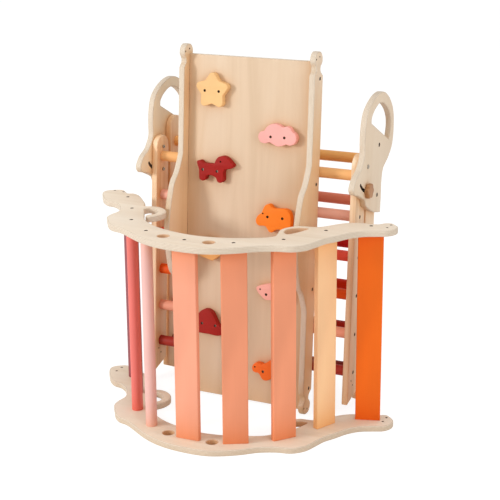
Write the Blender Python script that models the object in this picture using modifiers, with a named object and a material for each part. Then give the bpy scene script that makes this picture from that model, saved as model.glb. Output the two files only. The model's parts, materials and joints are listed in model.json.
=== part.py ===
"""Pikler triangle set, put together for display.

A folding climbing triangle leans back, a climbing ramp leans on its front rungs, and a
climbing arch stands in front of them on one of its side plates.
X points right, Y points away from the viewer and Z points up. All lengths are in metres.
"""
import math

import bmesh
import bpy
from mathutils import Matrix, Vector

# Fits shared by all pieces
SEAT_GAP = 0.0003              # between pieces that touch
MERGE = 0.00001
SCREW_RADIUS = 0.0036
SCREW_SINK = 0.0008            # head below the face it is let into
EDGE_CHAMFER = 0.0016

# Triangle: two frames that fold about the pivot
TRIANGLE_WIDTH = 0.688         # over the outer faces of the stiles
TRIANGLE_ASIDE = 0.007         # right of the arch's middle
STILE_THICK = 0.0195
STILE_DEPTH = 0.072
FRONT_LENGTH = 0.712           # pivot to foot along the middle of a front stile
BACK_TOP = 0.0546              # pivot level to the middle of a back stile's round top
FRAME_GAP = 0.014              # between the folded frames
FOLD_ANGLE = math.radians(42)
LEAN = math.radians(4.2)
RUNG_RADIUS = 0.016
FRONT_RUNG_SHARES = (0.042, 0.213, 0.385, 0.551, 0.719, 0.886)
BACK_RUNG_SHARES = (-0.011, 0.162, 0.340, 0.517, 0.694, 0.869)

# Head plates, with the points of their outline as shares of depth and height from the pivot
HEAD_THICK = 0.018
HEAD_DEPTH = 0.31
HEAD_HEIGHT = 0.366
HEAD_GAP = 0.0004              # plate to stile
HEAD_OUTLINE_SHARES = (
    ((0.387, -0.422), (0.239, -0.404), (0.129, -0.374), (0.039, -0.340), (0.000, -0.322),
     (-0.039, -0.270), (-0.097, -0.246), (-0.226, -0.208), (-0.310, -0.188), (-0.335, -0.158),
     (-0.300, -0.087), (-0.161, 0.003), (-0.094, 0.101), (-0.101, 0.191), (-0.100, 0.287),
     (-0.084, 0.369), (-0.052, 0.432), (0.019, 0.489), (0.113, 0.536), (0.210, 0.566),
     (0.323, 0.577), (0.410, 0.559), (0.484, 0.519), (0.597, 0.444), (0.650, 0.351), (0.661, 0.201),
     (0.629, 0.100), (0.542, 0.019), (0.406, -0.077), (0.389, -0.142), (0.392, -0.292),
     (0.387, -0.422)),
)
HEAD_LOOP_SHARES = (
    ((0.413, 0.201), (0.419, 0.254), (0.392, 0.337), (0.331, 0.415), (0.248, 0.476),
     (0.111, 0.447), (0.036, 0.404), (0.039, 0.342)),
    ((0.039, 0.342), (0.413, 0.201)),
)
HEAD_LOW_SCREW = 0.0962        # below the pivot
LOCK_DISTANCE = 0.0711         # pivot to lock bolt
SLOT_WIDTH = 0.010
SLOT_SLACK = math.radians(6)

# Bolts and knobs
BOLT_RADIUS = 0.004
BOLT_FIT = 0.0003
BOLT_HEAD_RADIUS = 0.0066
BOLT_HEAD_THICK = 0.0032
BOLT_NUT_THICK = 0.0045
BOLT_DOME_SHARE = 0.6          # flat top of a bolt head
BOLT_RIM_SHARE = 0.4           # straight side of a bolt head
HEAD_PLAY = 0.0006             # bolt head or knob to plate
KNOB_RADIUS = 0.0235
KNOB_THICK = 0.014
KNOB_EDGE = 0.003
KNOB_WALL = 0.004              # wood left over the bolt's end

# Ramp: a board between two shaped rails, measured up the slope and out from the board's face
BOARD_WIDTH = 0.409
BOARD_LENGTH = 1.062
BOARD_FOOT = 0.008             # board's lower edge above the rails' lower ends
BOARD_THICK = 0.018
RAMP_ASIDE = 0.001             # right of the arch's middle
RAIL_THICK = 0.018
RAIL_LENGTH = 1.100
RAIL_WIDTH = 0.061
RAIL_BACK = 0.028              # rail edge behind the board's face
RAIL_END = 0.071               # length of the shaped end
SWELL_HALF = 0.2225
SWELL_RISE = 0.082
RAIL_END_SHARES = (
    (0.000, 1.000), (0.164, 0.901), (0.295, 0.803), (0.328, 0.704), (0.303, 0.620), (0.180, 0.521),
    (0.107, 0.423), (0.098, 0.310), (0.172, 0.141), (0.328, 0.028), (0.541, 0.000), (0.754, 0.028),
    (0.910, 0.141), (0.984, 0.310), (0.975, 0.423), (0.902, 0.521), (0.811, 0.620), (0.795, 0.704),
    (0.820, 0.803), (0.918, 0.901), (1.000, 1.000),
)
SWELL_SHARES = ((1.0, 0.0), (0.944, 0.049), (0.845, 0.171), (0.724, 0.354), (0.640, 0.573), (0.45, 0.780),
                (0.27, 0.902))

# Climbing holds: width, height, place on the board and outline as shares
HOLD_THICK = 0.022
STAR_RADIUS = 0.058
STAR_PLACE_SHARES = (-0.285, 0.897)
STAR_REACH_SHARES = ((0, 1.0), (12, 0.93), (36, 0.62), (60, 0.93))
CLOUD_WIDTH = 0.132
CLOUD_HEIGHT = 0.066
CLOUD_PLACE_SHARES = (0.250, 0.791)
CLOUD_SHARES = (
    (-0.50, -0.06), (-0.42, 0.22), (-0.33, 0.32), (-0.19, 0.50), (-0.04, 0.46), (0.06, 0.42),
    (0.25, 0.49), (0.37, 0.38), (0.45, 0.18), (0.50, -0.11), (0.44, -0.36), (0.32, -0.47),
    (0.14, -0.41), (-0.05, -0.50), (-0.22, -0.43), (-0.37, -0.47), (-0.47, -0.32))
DOG_WIDTH = 0.128
DOG_HEIGHT = 0.083
DOG_PLACE_SHARES = (-0.244, 0.679)
DOG_SHARES = (
    (-0.50, 0.12), (-0.47, 0.19), (-0.40, 0.18), (-0.32, 0.08), (-0.02, 0.14), (0.01, 0.30),
    (0.08, 0.44), (0.20, 0.50), (0.32, 0.46), (0.47, 0.32), (0.50, 0.22), (0.43, 0.09),
    (0.31, 0.00), (0.22, 0.00), (0.18, -0.15), (0.16, -0.42), (0.11, -0.48), (0.05, -0.46),
    (0.00, -0.32), (-0.22, -0.33), (-0.25, -0.42), (-0.31, -0.49), (-0.41, -0.48), (-0.43, -0.28),
    (-0.44, -0.05))
PIG_WIDTH = 0.122
PIG_HEIGHT = 0.091
PIG_PLACE_SHARES = (0.247, 0.555)
PIG_SHARES = (
    (-0.50, -0.05), (-0.46, 0.09), (-0.33, 0.20), (-0.30, 0.38), (-0.22, 0.49), (-0.12, 0.50),
    (-0.03, 0.42), (0.16, 0.42), (0.38, 0.38), (0.48, 0.22), (0.50, -0.10), (0.47, -0.42),
    (0.39, -0.50), (0.30, -0.47), (0.22, -0.36), (0.13, -0.34), (0.06, -0.43), (-0.03, -0.45),
    (-0.15, -0.29), (-0.22, -0.20), (-0.37, -0.23), (-0.47, -0.16))
PEBBLE_WIDTH = 0.089
PEBBLE_HEIGHT = 0.073
PEBBLE_PLACE_SHARES = (-0.275, 0.441)
PEBBLE_SHARES = (
    (-0.43, -0.33), (-0.27, -0.48), (0.02, -0.50), (0.31, -0.39), (0.45, -0.19), (0.50, 0.05),
    (0.43, 0.31), (0.23, 0.46), (-0.03, 0.50), (-0.29, 0.42), (-0.46, 0.21), (-0.50, -0.05))
FISH_WIDTH = 0.114
FISH_HEIGHT = 0.052
FISH_PLACE_SHARES = (0.259, 0.340)
FISH_SHARES = (
    (-0.50, 0.18), (-0.46, -0.04), (-0.33, -0.24), (-0.22, -0.47), (-0.07, -0.46), (0.11, -0.31),
    (0.25, -0.16), (0.38, -0.42), (0.49, -0.40), (0.45, 0.02), (0.50, 0.42), (0.39, 0.47),
    (0.25, 0.23), (0.11, 0.38), (-0.10, 0.50), (-0.34, 0.40))
DOME_WIDTH = 0.097
DOME_HEIGHT = 0.079
DOME_PLACE_SHARES = (-0.273, 0.225)
DOME_SHARES = (
    (0.00, -0.50), (-0.40, -0.50), (-0.46, -0.49), (-0.49, -0.45), (-0.50, -0.38), (-0.49, -0.15),
    (-0.41, 0.16), (-0.24, 0.41), (0.00, 0.50), (0.24, 0.41), (0.41, 0.16), (0.49, -0.15),
    (0.50, -0.38), (0.49, -0.45), (0.46, -0.49), (0.40, -0.50))
BEAR_WIDTH = 0.121
BEAR_HEIGHT = 0.070
BEAR_PLACE_SHARES = (0.251, 0.106)
BEAR_SHARES = (
    (-0.50, 0.08), (-0.44, 0.28), (-0.33, 0.36), (-0.18, 0.35), (-0.07, 0.46), (0.04, 0.50),
    (0.19, 0.44), (0.35, 0.39), (0.46, 0.23), (0.50, -0.06), (0.46, -0.40), (0.36, -0.50),
    (0.27, -0.38), (0.15, -0.31), (0.05, -0.42), (-0.07, -0.49), (-0.20, -0.38), (-0.33, -0.20),
    (-0.46, -0.14))

# Arch: two equal side plates with dowels and slats between them
ARCH_SPAN = 1.0
ARCH_DEPTH = 0.5
ARCH_HEIGHT = 0.618            # over both side plates
ARCH_THICK = 0.018
HOOK_GAP = 0.004               # hook to the ramp's rail
HOOK_BACK_SHARE = 0.672
DOWEL_RADIUS = 0.017
DOWEL_SHARES = ((-0.3915, 0.824), (-0.3085, 0.596), (-0.2415, 0.366), (-0.1425, 0.196))
SLAT_WIDTH = 0.074
SLAT_THICK = 0.018
SLAT_EDGE = 0.003
SLAT_SHARES = ((0.0025, 0.122), (0.1405, 0.182), (0.2515, 0.359), (0.3225, 0.626), (0.4215, 0.823))
SLAT_TURNS = (1.6, 29, 53, 66, 18.4)
PEG_HOLE_RADIUS = 0.0165
PEG_HOLE_SHARES = ((-0.0695, 0.138), (0.0765, 0.132))
HAND_HOLE_SHARES = (
    (0.2251, 0.488), (0.2195, 0.556), (0.234, 0.598), (0.2555, 0.618), (0.2685, 0.616),
    (0.265, 0.575), (0.2515, 0.502), (0.2385, 0.466))
ARCH_OUTLINE_SHARES = (
    (-0.4985, 0.892), (-0.4905, 0.842), (-0.4735, 0.790), (-0.4465, 0.722), (-0.4215, 0.686),
    (-0.3975, 0.676), (-0.3725, 0.644), (-0.3475, 0.584), (-0.3275, 0.502), (-0.3295, 0.422),
    (-0.3245, 0.362), (-0.3095, 0.318), (-0.2815, 0.242), (-0.2595, 0.208), (-0.2325, 0.194),
    (-0.1875, 0.142), (-0.1375, 0.078), (-0.0675, 0.020), (0.0125, 0.000), (0.0925, 0.016),
    (0.1675, 0.100), (0.2175, 0.186), (0.2575, 0.226), (0.3025, 0.252), (0.3295, 0.308),
    (0.3435, 0.392), (0.3545, 0.478), (0.3745, 0.552), (0.3945, 0.636), (0.4235, 0.702),
    (0.4575, 0.738), (0.4845, 0.768), (0.4980, 0.822), (0.4955, 0.864), (0.4805, 0.902),
    (0.4615, 0.926), (0.4465, 0.912), (0.4335, 0.876), (0.4125, 0.864), (0.3905, 0.868),
    (0.3615, 0.848), (0.3325, 0.800), (0.3095, 0.732), (0.2875, 0.678), (0.2645, 0.664),
    (0.2385, 0.656), (0.2145, 0.612), (0.2015, 0.542), (0.2105, 0.452), (0.2155, 0.408),
    (0.2005, 0.360), (0.1525, 0.302), (0.0825, 0.248), (0.0125, 0.226), (-0.0575, 0.244),
    (-0.1175, 0.280), (-0.1775, 0.350), (-0.2115, 0.416), (-0.2335, 0.488), (-0.2555, 0.564),
    (-0.2685, 0.612), (-0.2635, 0.632), (-0.2485, 0.626), (-0.2325, 0.602), (-0.2235, 0.564),
    (-0.2245, 0.530), (-0.2305, 0.504), (-0.2195, 0.466), (-0.2085, 0.464), (-0.1975, 0.492),
    (-0.1895, 0.540), (-0.1895, 0.582), (-0.1995, 0.632), (-0.2205, 0.672), (-0.2465, 0.692),
    (-0.2685, 0.684), (-0.2845, 0.674), (-0.2995, 0.724), (-0.3245, 0.786), (-0.3545, 0.856),
    (-0.3795, 0.900), (-0.3995, 0.914), (-0.4155, 0.904), (-0.4285, 0.924), (-0.4455, 0.958),
    (-0.4615, 0.967), (-0.4805, 0.946), (-0.4945, 0.920))

# Facets
TURN_PER_FACET = math.radians(17)
RUNG_SIDES = 20
DOWEL_SIDES = 24
SCREW_SIDES = 10
BORE_SIDES = 12
KNOB_SIDES = 28
PEG_HOLE_SIDES = 20
FULL_TURN = 2 * math.pi
SMOOTH_TURN = math.radians(35)
BYTE = 255

# Colours as seen, red, green and blue in bytes
PINE = (233, 203, 172)
BIRCH = (236, 220, 200)
BEECH = (200, 155, 115)
STEEL = (120, 116, 112)
FRONT_RUNG_COLOURS = ((230, 160, 80), (215, 130, 115), (210, 60, 55), (195, 60, 10), (215, 120, 95),
                      (150, 40, 35))
BACK_RUNG_COLOURS = ((225, 140, 60), (190, 75, 65), (160, 20, 30), (165, 30, 0), (140, 20, 15),
                     (100, 22, 18))
DOWEL_COLOURS = ((120, 30, 42), (140, 24, 24), (212, 78, 66), (232, 172, 165))
SLAT_COLOURS = ((250, 175, 148), (235, 153, 118), (235, 153, 118), (241, 190, 142), (235, 105, 32))
STAR_COLOUR = (245, 205, 140)
CLOUD_COLOUR = (248, 180, 172)
DOG_COLOUR = (175, 40, 38)
PIG_COLOUR = (255, 130, 40)
PEBBLE_COLOUR = (238, 186, 110)
FISH_COLOUR = (236, 150, 135)
DOME_COLOUR = (165, 35, 32)
BEAR_COLOUR = (250, 105, 30)

# Places that follow from the sizes above
FRAME_PITCH = STILE_DEPTH + FRAME_GAP
FOOT_CUT = math.tan(FOLD_ANGLE / 2)
BACK_LENGTH = FRONT_LENGTH + FRAME_PITCH * FOOT_CUT
STILE_OUTER = TRIANGLE_WIDTH / 2
STILE_INNER = STILE_OUTER - STILE_THICK
HEAD_INNER = STILE_OUTER + HEAD_GAP
HEAD_OUTER = HEAD_INNER + HEAD_THICK
RAIL_FRONT = RAIL_WIDTH - RAIL_BACK
RAMP_FACE = -(RUNG_RADIUS + SEAT_GAP + RAIL_BACK)
ARCH_INNER = ARCH_HEIGHT - ARCH_THICK
SIN_LEAN = math.sin(LEAN)
COS_LEAN = math.cos(LEAN)

# Local outline axes turned into the axes of the piece that they belong to
ACROSS = Matrix(((0, 0, 1), (1, 0, 0), (0, 1, 0))).to_4x4()
FACING = Matrix(((1, 0, 0), (0, 0, -1), (0, 1, 0))).to_4x4()
LEVEL = Matrix.Identity(4)


def clear_scene():
    for old in list(bpy.data.objects):
        bpy.data.objects.remove(old, do_unlink=True)


def make_collection(name):
    collection = bpy.data.collections.new(name)
    bpy.context.scene.collection.children.link(collection)
    return collection


def make_empty(name, collection, location, turn=0, parent=None):
    empty = bpy.data.objects.new(name, None)
    collection.objects.link(empty)
    empty.location = location
    empty.rotation_euler = (turn, 0, 0)
    empty.parent = parent
    return empty


def linear(byte):
    share = byte / BYTE
    return share / 12.92 if share <= 0.04045 else ((share + 0.055) / 1.055) ** 2.4


def make_material(name, colour, roughness=0.5, metallic=0.0):
    material = bpy.data.materials.new(name)
    material.use_nodes = True
    shader = material.node_tree.nodes["Principled BSDF"]
    shader.inputs["Base Color"].default_value = (*(linear(c) for c in colour), 1)
    shader.inputs["Roughness"].default_value = roughness
    shader.inputs["Metallic"].default_value = metallic
    material.diffuse_color = (*(linear(c) for c in colour), 1)
    return material


def add_piece(name, mesh, collection, parent, colour, roughness=0.5, metallic=0.0, location=(0, 0, 0)):
    mesh.name = name
    mesh.materials.clear()
    mesh.materials.append(make_material(name, colour, roughness, metallic))
    mesh.shade_smooth()
    mesh.set_sharp_from_angle(angle=SMOOTH_TURN)
    piece = bpy.data.objects.new(name, mesh)
    collection.objects.link(piece)
    piece.parent = parent
    piece.location = location
    return piece


def slope(before, here, after):
    """Direction of a smooth line at a point, weighed by how far its neighbours are."""
    back = (here - before).length
    ahead = (after - here).length
    return ((here - before) / back * ahead + (after - here) / ahead * back) / (back + ahead)


def smooth_line(points, closed):
    """A smooth line through the points, with more facets where it turns more."""
    knots = [Vector(point) for point in points]
    count = len(knots)
    slopes = []
    for index, here in enumerate(knots):
        at_end = index == count - 1
        before = knots[index - 1] if closed or index else here * 2 - knots[1]
        after = knots[(index + 1) % count] if closed or not at_end else here * 2 - knots[index - 1]
        slopes.append(slope(before, here, after))
    line = []
    for index in range(count if closed else count - 1):
        start, end = knots[index], knots[(index + 1) % count]
        leave, arrive = slopes[index], slopes[(index + 1) % count]
        chord = end - start
        turn = abs(leave.angle_signed(chord)) + abs(chord.angle_signed(arrive))
        steps = max(1, math.ceil(turn / TURN_PER_FACET))
        for step in range(steps):
            t = step / steps
            rise = t * t * (3 - 2 * t)
            pull_start = t * (1 - t) ** 2
            pull_end = t * t * (t - 1)
            line.append(start + chord * rise + (leave * pull_start + arrive * pull_end) * chord.length)
    if not closed:
        line.append(knots[-1])
    return line


def joined_runs(runs):
    """A closed outline from smooth runs that meet in corners."""
    line = []
    for run in runs:
        line.extend(smooth_line(run, False)[:-1])
    return line


def circle(centre, radius, sides):
    turns = [FULL_TURN * step / sides for step in range(sides)]
    return [Vector((centre[0] + radius * math.cos(turn), centre[1] + radius * math.sin(turn)))
            for turn in turns]


def arc(centre, radius, start, end, steps):
    turns = [start + (end - start) * step / steps for step in range(steps + 1)]
    return [Vector((centre[0] + radius * math.cos(turn), centre[1] + radius * math.sin(turn)))
            for turn in turns]


def outline_mesh(name, loops, thickness, axes, base=0, chamfered=0, chamfer=EDGE_CHAMFER):
    """A flat piece from closed loops. The first loops can get chamfered edges."""
    curve = bpy.data.curves.new(name, "CURVE")
    curve.dimensions = "2D"
    curve.fill_mode = "BOTH"
    curve.extrude = thickness / 2
    for loop in loops:
        spline = curve.splines.new("POLY")
        spline.points.add(len(loop) - 1)
        for point, place in zip(spline.points, loop):
            point.co = (place[0], place[1], 0, 1)
        spline.use_cyclic_u = True
    holder = bpy.data.objects.new(name, curve)
    bpy.context.scene.collection.objects.link(holder)
    depsgraph = bpy.context.evaluated_depsgraph_get()
    mesh = bpy.data.meshes.new_from_object(holder.evaluated_get(depsgraph))
    bpy.data.objects.remove(holder, do_unlink=True)
    solid = bmesh.new()
    solid.from_mesh(mesh)
    bmesh.ops.remove_doubles(solid, verts=solid.verts, dist=MERGE)
    bmesh.ops.recalc_face_normals(solid, faces=solid.faces)
    if chamfered:
        rims = [Vector(place).to_2d() for loop in loops[:chamfered] for place in loop]
        chamfer_rims(solid, rims, thickness / 2, chamfer)
    lift = Matrix.Translation((0, 0, base + thickness / 2))
    bmesh.ops.transform(solid, matrix=axes @ lift, verts=solid.verts)
    solid.to_mesh(mesh)
    solid.free()
    return mesh


def chamfer_rims(solid, rims, half, chamfer):
    """Chamfers the edges that lie on the rims of both faces."""
    near = MERGE * 10
    corners = set()
    for vertex in solid.verts:
        flat = vertex.co.to_2d()
        if any((flat - rim).length < near for rim in rims):
            corners.add(vertex)
    edges = []
    for edge in solid.edges:
        on_rim = all(vertex in corners for vertex in edge.verts)
        is_level = all(abs(abs(vertex.co.z) - half) < near for vertex in edge.verts)
        if on_rim and is_level and edge.verts[0].co.z * edge.verts[1].co.z > 0:
            if edge.calc_face_angle(0) > FULL_TURN / 8:
                edges.append(edge)
    bmesh.ops.bevel(solid, geom=edges, offset=chamfer, segments=1, affect="EDGES", clamp_overlap=True)


def rod_mesh(name, low, high, radius, sides):
    """A round rod from one point to another."""
    solid = bmesh.new()
    low, high = Vector(low), Vector(high)
    along = high - low
    place = Matrix.Translation((low + high) / 2) @ along.to_track_quat("Z", "Y").to_matrix().to_4x4()
    bmesh.ops.create_cone(solid, cap_ends=True, segments=sides, radius1=radius, radius2=radius,
                          depth=along.length, matrix=place)
    mesh = bpy.data.meshes.new(name)
    solid.to_mesh(mesh)
    solid.free()
    return mesh


def add_box(name, size, collection, parent, colour, location, turn=0, edge=EDGE_CHAMFER):
    solid = bmesh.new()
    bmesh.ops.create_cube(solid, size=1)
    bmesh.ops.scale(solid, vec=size, verts=solid.verts)
    mesh = bpy.data.meshes.new(name)
    solid.to_mesh(mesh)
    solid.free()
    box = add_piece(name, mesh, collection, parent, colour, location=location)
    box.rotation_euler = (0, 0, turn)
    bevel = box.modifiers.new("edges", "BEVEL")
    bevel.width = edge
    bevel.segments = 1
    return box


def add_turned(name, profile, sides, collection, parent, colour, location, roughness=0.5, metallic=0.0):
    """A turned solid on an axis along X. The profile lists radius and height from its top down."""
    mesh = bpy.data.meshes.new(name)
    points = [(radius, 0, height) for radius, height in profile]
    edges = [(step, step + 1) for step in range(len(profile) - 1)]
    mesh.from_pydata(points, edges, [])
    piece = add_piece(name, mesh, collection, parent, colour, roughness, metallic, location)
    piece.rotation_euler = (0, math.pi / 2, 0)
    spin = piece.modifiers.new("turned", "SCREW")
    spin.axis = "Z"
    spin.angle = FULL_TURN
    spin.steps = sides
    spin.render_steps = sides
    spin.use_merge_vertices = True
    spin.merge_threshold = MERGE
    spin.use_smooth_shade = True
    return piece


def scaled(points, width, height):
    return [(x * width, y * height) for x, y in points]


def stile_outline(middle, top, foot, foot_slope):
    """Round top about (middle, top), straight sides and a slanting foot."""
    half = STILE_DEPTH / 2
    head = arc((middle, top), half, 0, math.pi, 12)
    front_foot = Vector((middle - half, foot - half * foot_slope))
    back_foot = Vector((middle + half, foot + half * foot_slope))
    return head + [front_foot, back_foot]


def add_stiles(name, middle, top, foot, foot_slope, holes, collection, parent):
    loops = [stile_outline(middle, top, foot, foot_slope)] + holes
    for side, base in (("left", -STILE_OUTER), ("right", STILE_INNER)):
        mesh = outline_mesh(name, loops, STILE_THICK, ACROSS, base, chamfered=1)
        add_piece(name + "_" + side, mesh, collection, parent, PINE)


def add_rungs(name, middle, heights, colours, collection, parent):
    reach = STILE_INNER - SEAT_GAP
    for number, (height, colour) in enumerate(zip(heights, colours), 1):
        mesh = rod_mesh(name, (-reach, 0, 0), (reach, 0, 0), RUNG_RADIUS, RUNG_SIDES)
        add_piece(f"{name}_{number}", mesh, collection, parent, colour, 0.35, location=(0, middle, height))


def slot_outline():
    """The curved slot that the lock bolt travels in as the triangle opens."""
    down = -math.pi / 2
    start = down + SLOT_SLACK
    end = down - FOLD_ANGLE - SLOT_SLACK
    half = SLOT_WIDTH / 2
    line = arc((0, 0), LOCK_DISTANCE + half, start, end, 7)
    far = (LOCK_DISTANCE * math.cos(end), LOCK_DISTANCE * math.sin(end))
    line += arc(far, half, end, end - math.pi, 6)[1:-1]
    line += arc((0, 0), LOCK_DISTANCE - half, end, start, 7)
    near = (LOCK_DISTANCE * math.cos(start), LOCK_DISTANCE * math.sin(start))
    line += arc(near, half, start + math.pi, start, 6)[1:-1]
    return line


def head_outline():
    return joined_runs([scaled(run, HEAD_DEPTH, HEAD_HEIGHT) for run in HEAD_OUTLINE_SHARES])


def build_front_frame(collection, parent):
    heights = [-share * FRONT_LENGTH for share in FRONT_RUNG_SHARES]
    bores = [circle((0, 0), BOLT_RADIUS + BOLT_FIT, BORE_SIDES),
             circle((0, -LOCK_DISTANCE), BOLT_RADIUS + BOLT_FIT, BORE_SIDES)]
    add_stiles("front_stile", 0, 0, -FRONT_LENGTH, FOOT_CUT, bores, collection, parent)
    add_rungs("front_rung", 0, heights, FRONT_RUNG_COLOURS, collection, parent)


def build_back_frame(collection, parent):
    heights = [-share * BACK_LENGTH for share in BACK_RUNG_SHARES]
    add_stiles("back_stile", FRAME_PITCH, BACK_TOP, -BACK_LENGTH, -FOOT_CUT, [], collection, parent)
    add_rungs("back_rung", FRAME_PITCH, heights, BACK_RUNG_COLOURS, collection, parent)


def build_head_plates(collection, parent):
    places = (("high", (FRAME_PITCH, BACK_TOP)), ("low", (FRAME_PITCH, -HEAD_LOW_SCREW)))
    holes = [circle(place, SCREW_RADIUS + SEAT_GAP, SCREW_SIDES) for name, place in places]
    loop = joined_runs([scaled(run, HEAD_DEPTH, HEAD_HEIGHT) for run in HEAD_LOOP_SHARES])
    bore = circle((0, 0), BOLT_RADIUS + BOLT_FIT, BORE_SIDES)
    loops = [head_outline(), loop, slot_outline(), bore] + holes
    for side, base in (("left", -HEAD_OUTER), ("right", HEAD_INNER)):
        mesh = outline_mesh("head_plate", loops, HEAD_THICK, ACROSS, base, chamfered=2)
        add_piece("head_plate_" + side, mesh, collection, parent, BIRCH)
    reach = HEAD_THICK - SCREW_SINK
    for side, start in (("left", -HEAD_INNER - reach), ("right", HEAD_INNER)):
        for level, (y, z) in places:
            name = f"head_screw_{level}_{side}"
            mesh = rod_mesh(name, (0, 0, 0), (reach, 0, 0), SCREW_RADIUS, SCREW_SIDES)
            add_piece(name, mesh, collection, parent, STEEL, 0.3, 1.0, (start, y, z))


def bolt_profile(outer, inner, has_head):
    """A bolt from its outer end down to the nut or dome on the stile's inner face."""
    nut = inner - SEAT_GAP
    low = nut - BOLT_NUT_THICK
    profile = [(0, outer), (BOLT_RADIUS, outer)]
    if has_head:
        seat = outer - BOLT_HEAD_THICK
        profile = [(0, outer), (BOLT_HEAD_RADIUS * BOLT_DOME_SHARE, outer),
                   (BOLT_HEAD_RADIUS, seat + BOLT_HEAD_THICK * BOLT_RIM_SHARE), (BOLT_HEAD_RADIUS, seat),
                   (BOLT_RADIUS, seat)]
    profile += [(BOLT_RADIUS, nut), (BOLT_HEAD_RADIUS, nut), (BOLT_HEAD_RADIUS, low), (0, low)]
    return profile


def both_sides(profile):
    """The shape for the right side, and for the left side, both listed from the top down."""
    return (("right", profile), ("left", [(radius, -height) for radius, height in reversed(profile)]))


def build_bolts(collection, parent):
    head_top = HEAD_OUTER + HEAD_PLAY + BOLT_HEAD_THICK
    for side, shape in both_sides(bolt_profile(head_top, STILE_INNER, True)):
        add_turned("pivot_bolt_" + side, shape, BORE_SIDES, collection, parent, STEEL, (0, 0, 0), 0.3, 1.0)
    end = HEAD_OUTER + HEAD_PLAY + KNOB_THICK - KNOB_WALL - SEAT_GAP
    place = (0, 0, -LOCK_DISTANCE)
    for side, shape in both_sides(bolt_profile(end, STILE_INNER, False)):
        add_turned("lock_bolt_" + side, shape, BORE_SIDES, collection, parent, STEEL, place, 0.3, 1.0)


def build_knobs(collection, parent):
    low = HEAD_OUTER + HEAD_PLAY
    high = low + KNOB_THICK
    bore = BOLT_RADIUS + BOLT_FIT
    profile = [(0, high), (KNOB_RADIUS - KNOB_EDGE, high), (KNOB_RADIUS, high - KNOB_EDGE),
               (KNOB_RADIUS, low + KNOB_EDGE), (KNOB_RADIUS - KNOB_EDGE, low), (bore, low),
               (bore, high - KNOB_WALL), (0, high - KNOB_WALL)]
    for side, shape in both_sides(profile):
        add_turned("lock_knob_" + side, shape, KNOB_SIDES, collection, parent, BEECH,
                   (0, 0, -LOCK_DISTANCE), 0.45)


def rail_outline():
    """A rail from its back edge round both shaped ends, with the swell on its front."""
    low_end = [(x * RAIL_WIDTH - RAIL_BACK, y * RAIL_END) for x, y in RAIL_END_SHARES]
    high_end = [(x, RAIL_LENGTH - y) for x, y in reversed(low_end)]
    middle = RAIL_LENGTH / 2
    rising = [(RAIL_FRONT + rise * SWELL_RISE, middle - away * SWELL_HALF) for away, rise in SWELL_SHARES]
    falling = [(x, RAIL_LENGTH - y) for x, y in reversed(rising)]
    swell = rising + [(RAIL_FRONT + SWELL_RISE, middle)] + falling
    runs = [low_end, [low_end[-1], swell[0]], swell, [swell[-1], high_end[0]], high_end,
            [high_end[-1], low_end[0]]]
    return joined_runs(runs)


def ramp_foot(pivot_height):
    """Height of the rails' lower end in the leaning frame, with its lowest point on the floor."""
    lowest = min(x * SIN_LEAN + y * COS_LEAN for x, y in rail_outline())
    return -(pivot_height - RAMP_FACE * SIN_LEAN + lowest) / COS_LEAN


def build_rails(collection, parent):
    inner = BOARD_WIDTH / 2 + SEAT_GAP
    outer = inner + RAIL_THICK
    loops = [[(-x, y) for x, y in rail_outline()]]
    for side, base in (("left", -outer), ("right", inner)):
        mesh = outline_mesh("ramp_rail", loops, RAIL_THICK, ACROSS, base, chamfered=1)
        add_piece("ramp_rail_" + side, mesh, collection, parent, BIRCH)


def star_outline():
    """Five blunt tips; each fifth of a turn repeats the same reaches, listed by degrees."""
    line = []
    for tip in range(5):
        for degrees, reach in STAR_REACH_SHARES:
            turn = FULL_TURN / 4 + FULL_TURN * tip / 5 + math.radians(degrees)
            line.append((STAR_RADIUS * reach * math.cos(turn), STAR_RADIUS * reach * math.sin(turn)))
    return line


def hold_table():
    """Name, outline, colour and place shares of every hold."""
    return (
        ("hold_star", star_outline(), STAR_COLOUR, STAR_PLACE_SHARES),
        ("hold_cloud", scaled(CLOUD_SHARES, CLOUD_WIDTH, CLOUD_HEIGHT), CLOUD_COLOUR, CLOUD_PLACE_SHARES),
        ("hold_dog", scaled(DOG_SHARES, DOG_WIDTH, DOG_HEIGHT), DOG_COLOUR, DOG_PLACE_SHARES),
        ("hold_pig", scaled(PIG_SHARES, PIG_WIDTH, PIG_HEIGHT), PIG_COLOUR, PIG_PLACE_SHARES),
        ("hold_pebble", scaled(PEBBLE_SHARES, PEBBLE_WIDTH, PEBBLE_HEIGHT), PEBBLE_COLOUR,
         PEBBLE_PLACE_SHARES),
        ("hold_fish", scaled(FISH_SHARES, FISH_WIDTH, FISH_HEIGHT), FISH_COLOUR, FISH_PLACE_SHARES),
        ("hold_dome", scaled(DOME_SHARES, DOME_WIDTH, DOME_HEIGHT), DOME_COLOUR, DOME_PLACE_SHARES),
        ("hold_bear", scaled(BEAR_SHARES, BEAR_WIDTH, BEAR_HEIGHT), BEAR_COLOUR, BEAR_PLACE_SHARES),
    )


def build_holds(collection, parent):
    for name, outline, colour, place in hold_table():
        middle = (place[0] * BOARD_WIDTH, 0, BOARD_FOOT + place[1] * BOARD_LENGTH)
        mesh = outline_mesh(name, [smooth_line(outline, True)], HOLD_THICK - SEAT_GAP, FACING, SEAT_GAP,
                            chamfered=1)
        add_piece(name, mesh, collection, parent, colour, 0.4, location=middle)


def build_ramp(collection, parent):
    size = (BOARD_WIDTH, BOARD_THICK, BOARD_LENGTH)
    middle = (0, BOARD_THICK / 2, BOARD_FOOT + BOARD_LENGTH / 2)
    add_box("ramp_board", size, collection, parent, PINE, middle)
    build_rails(collection, parent)
    build_holds(collection, parent)


def arch_outline():
    return smooth_line(scaled(ARCH_OUTLINE_SHARES, ARCH_SPAN, ARCH_DEPTH), True)


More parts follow.
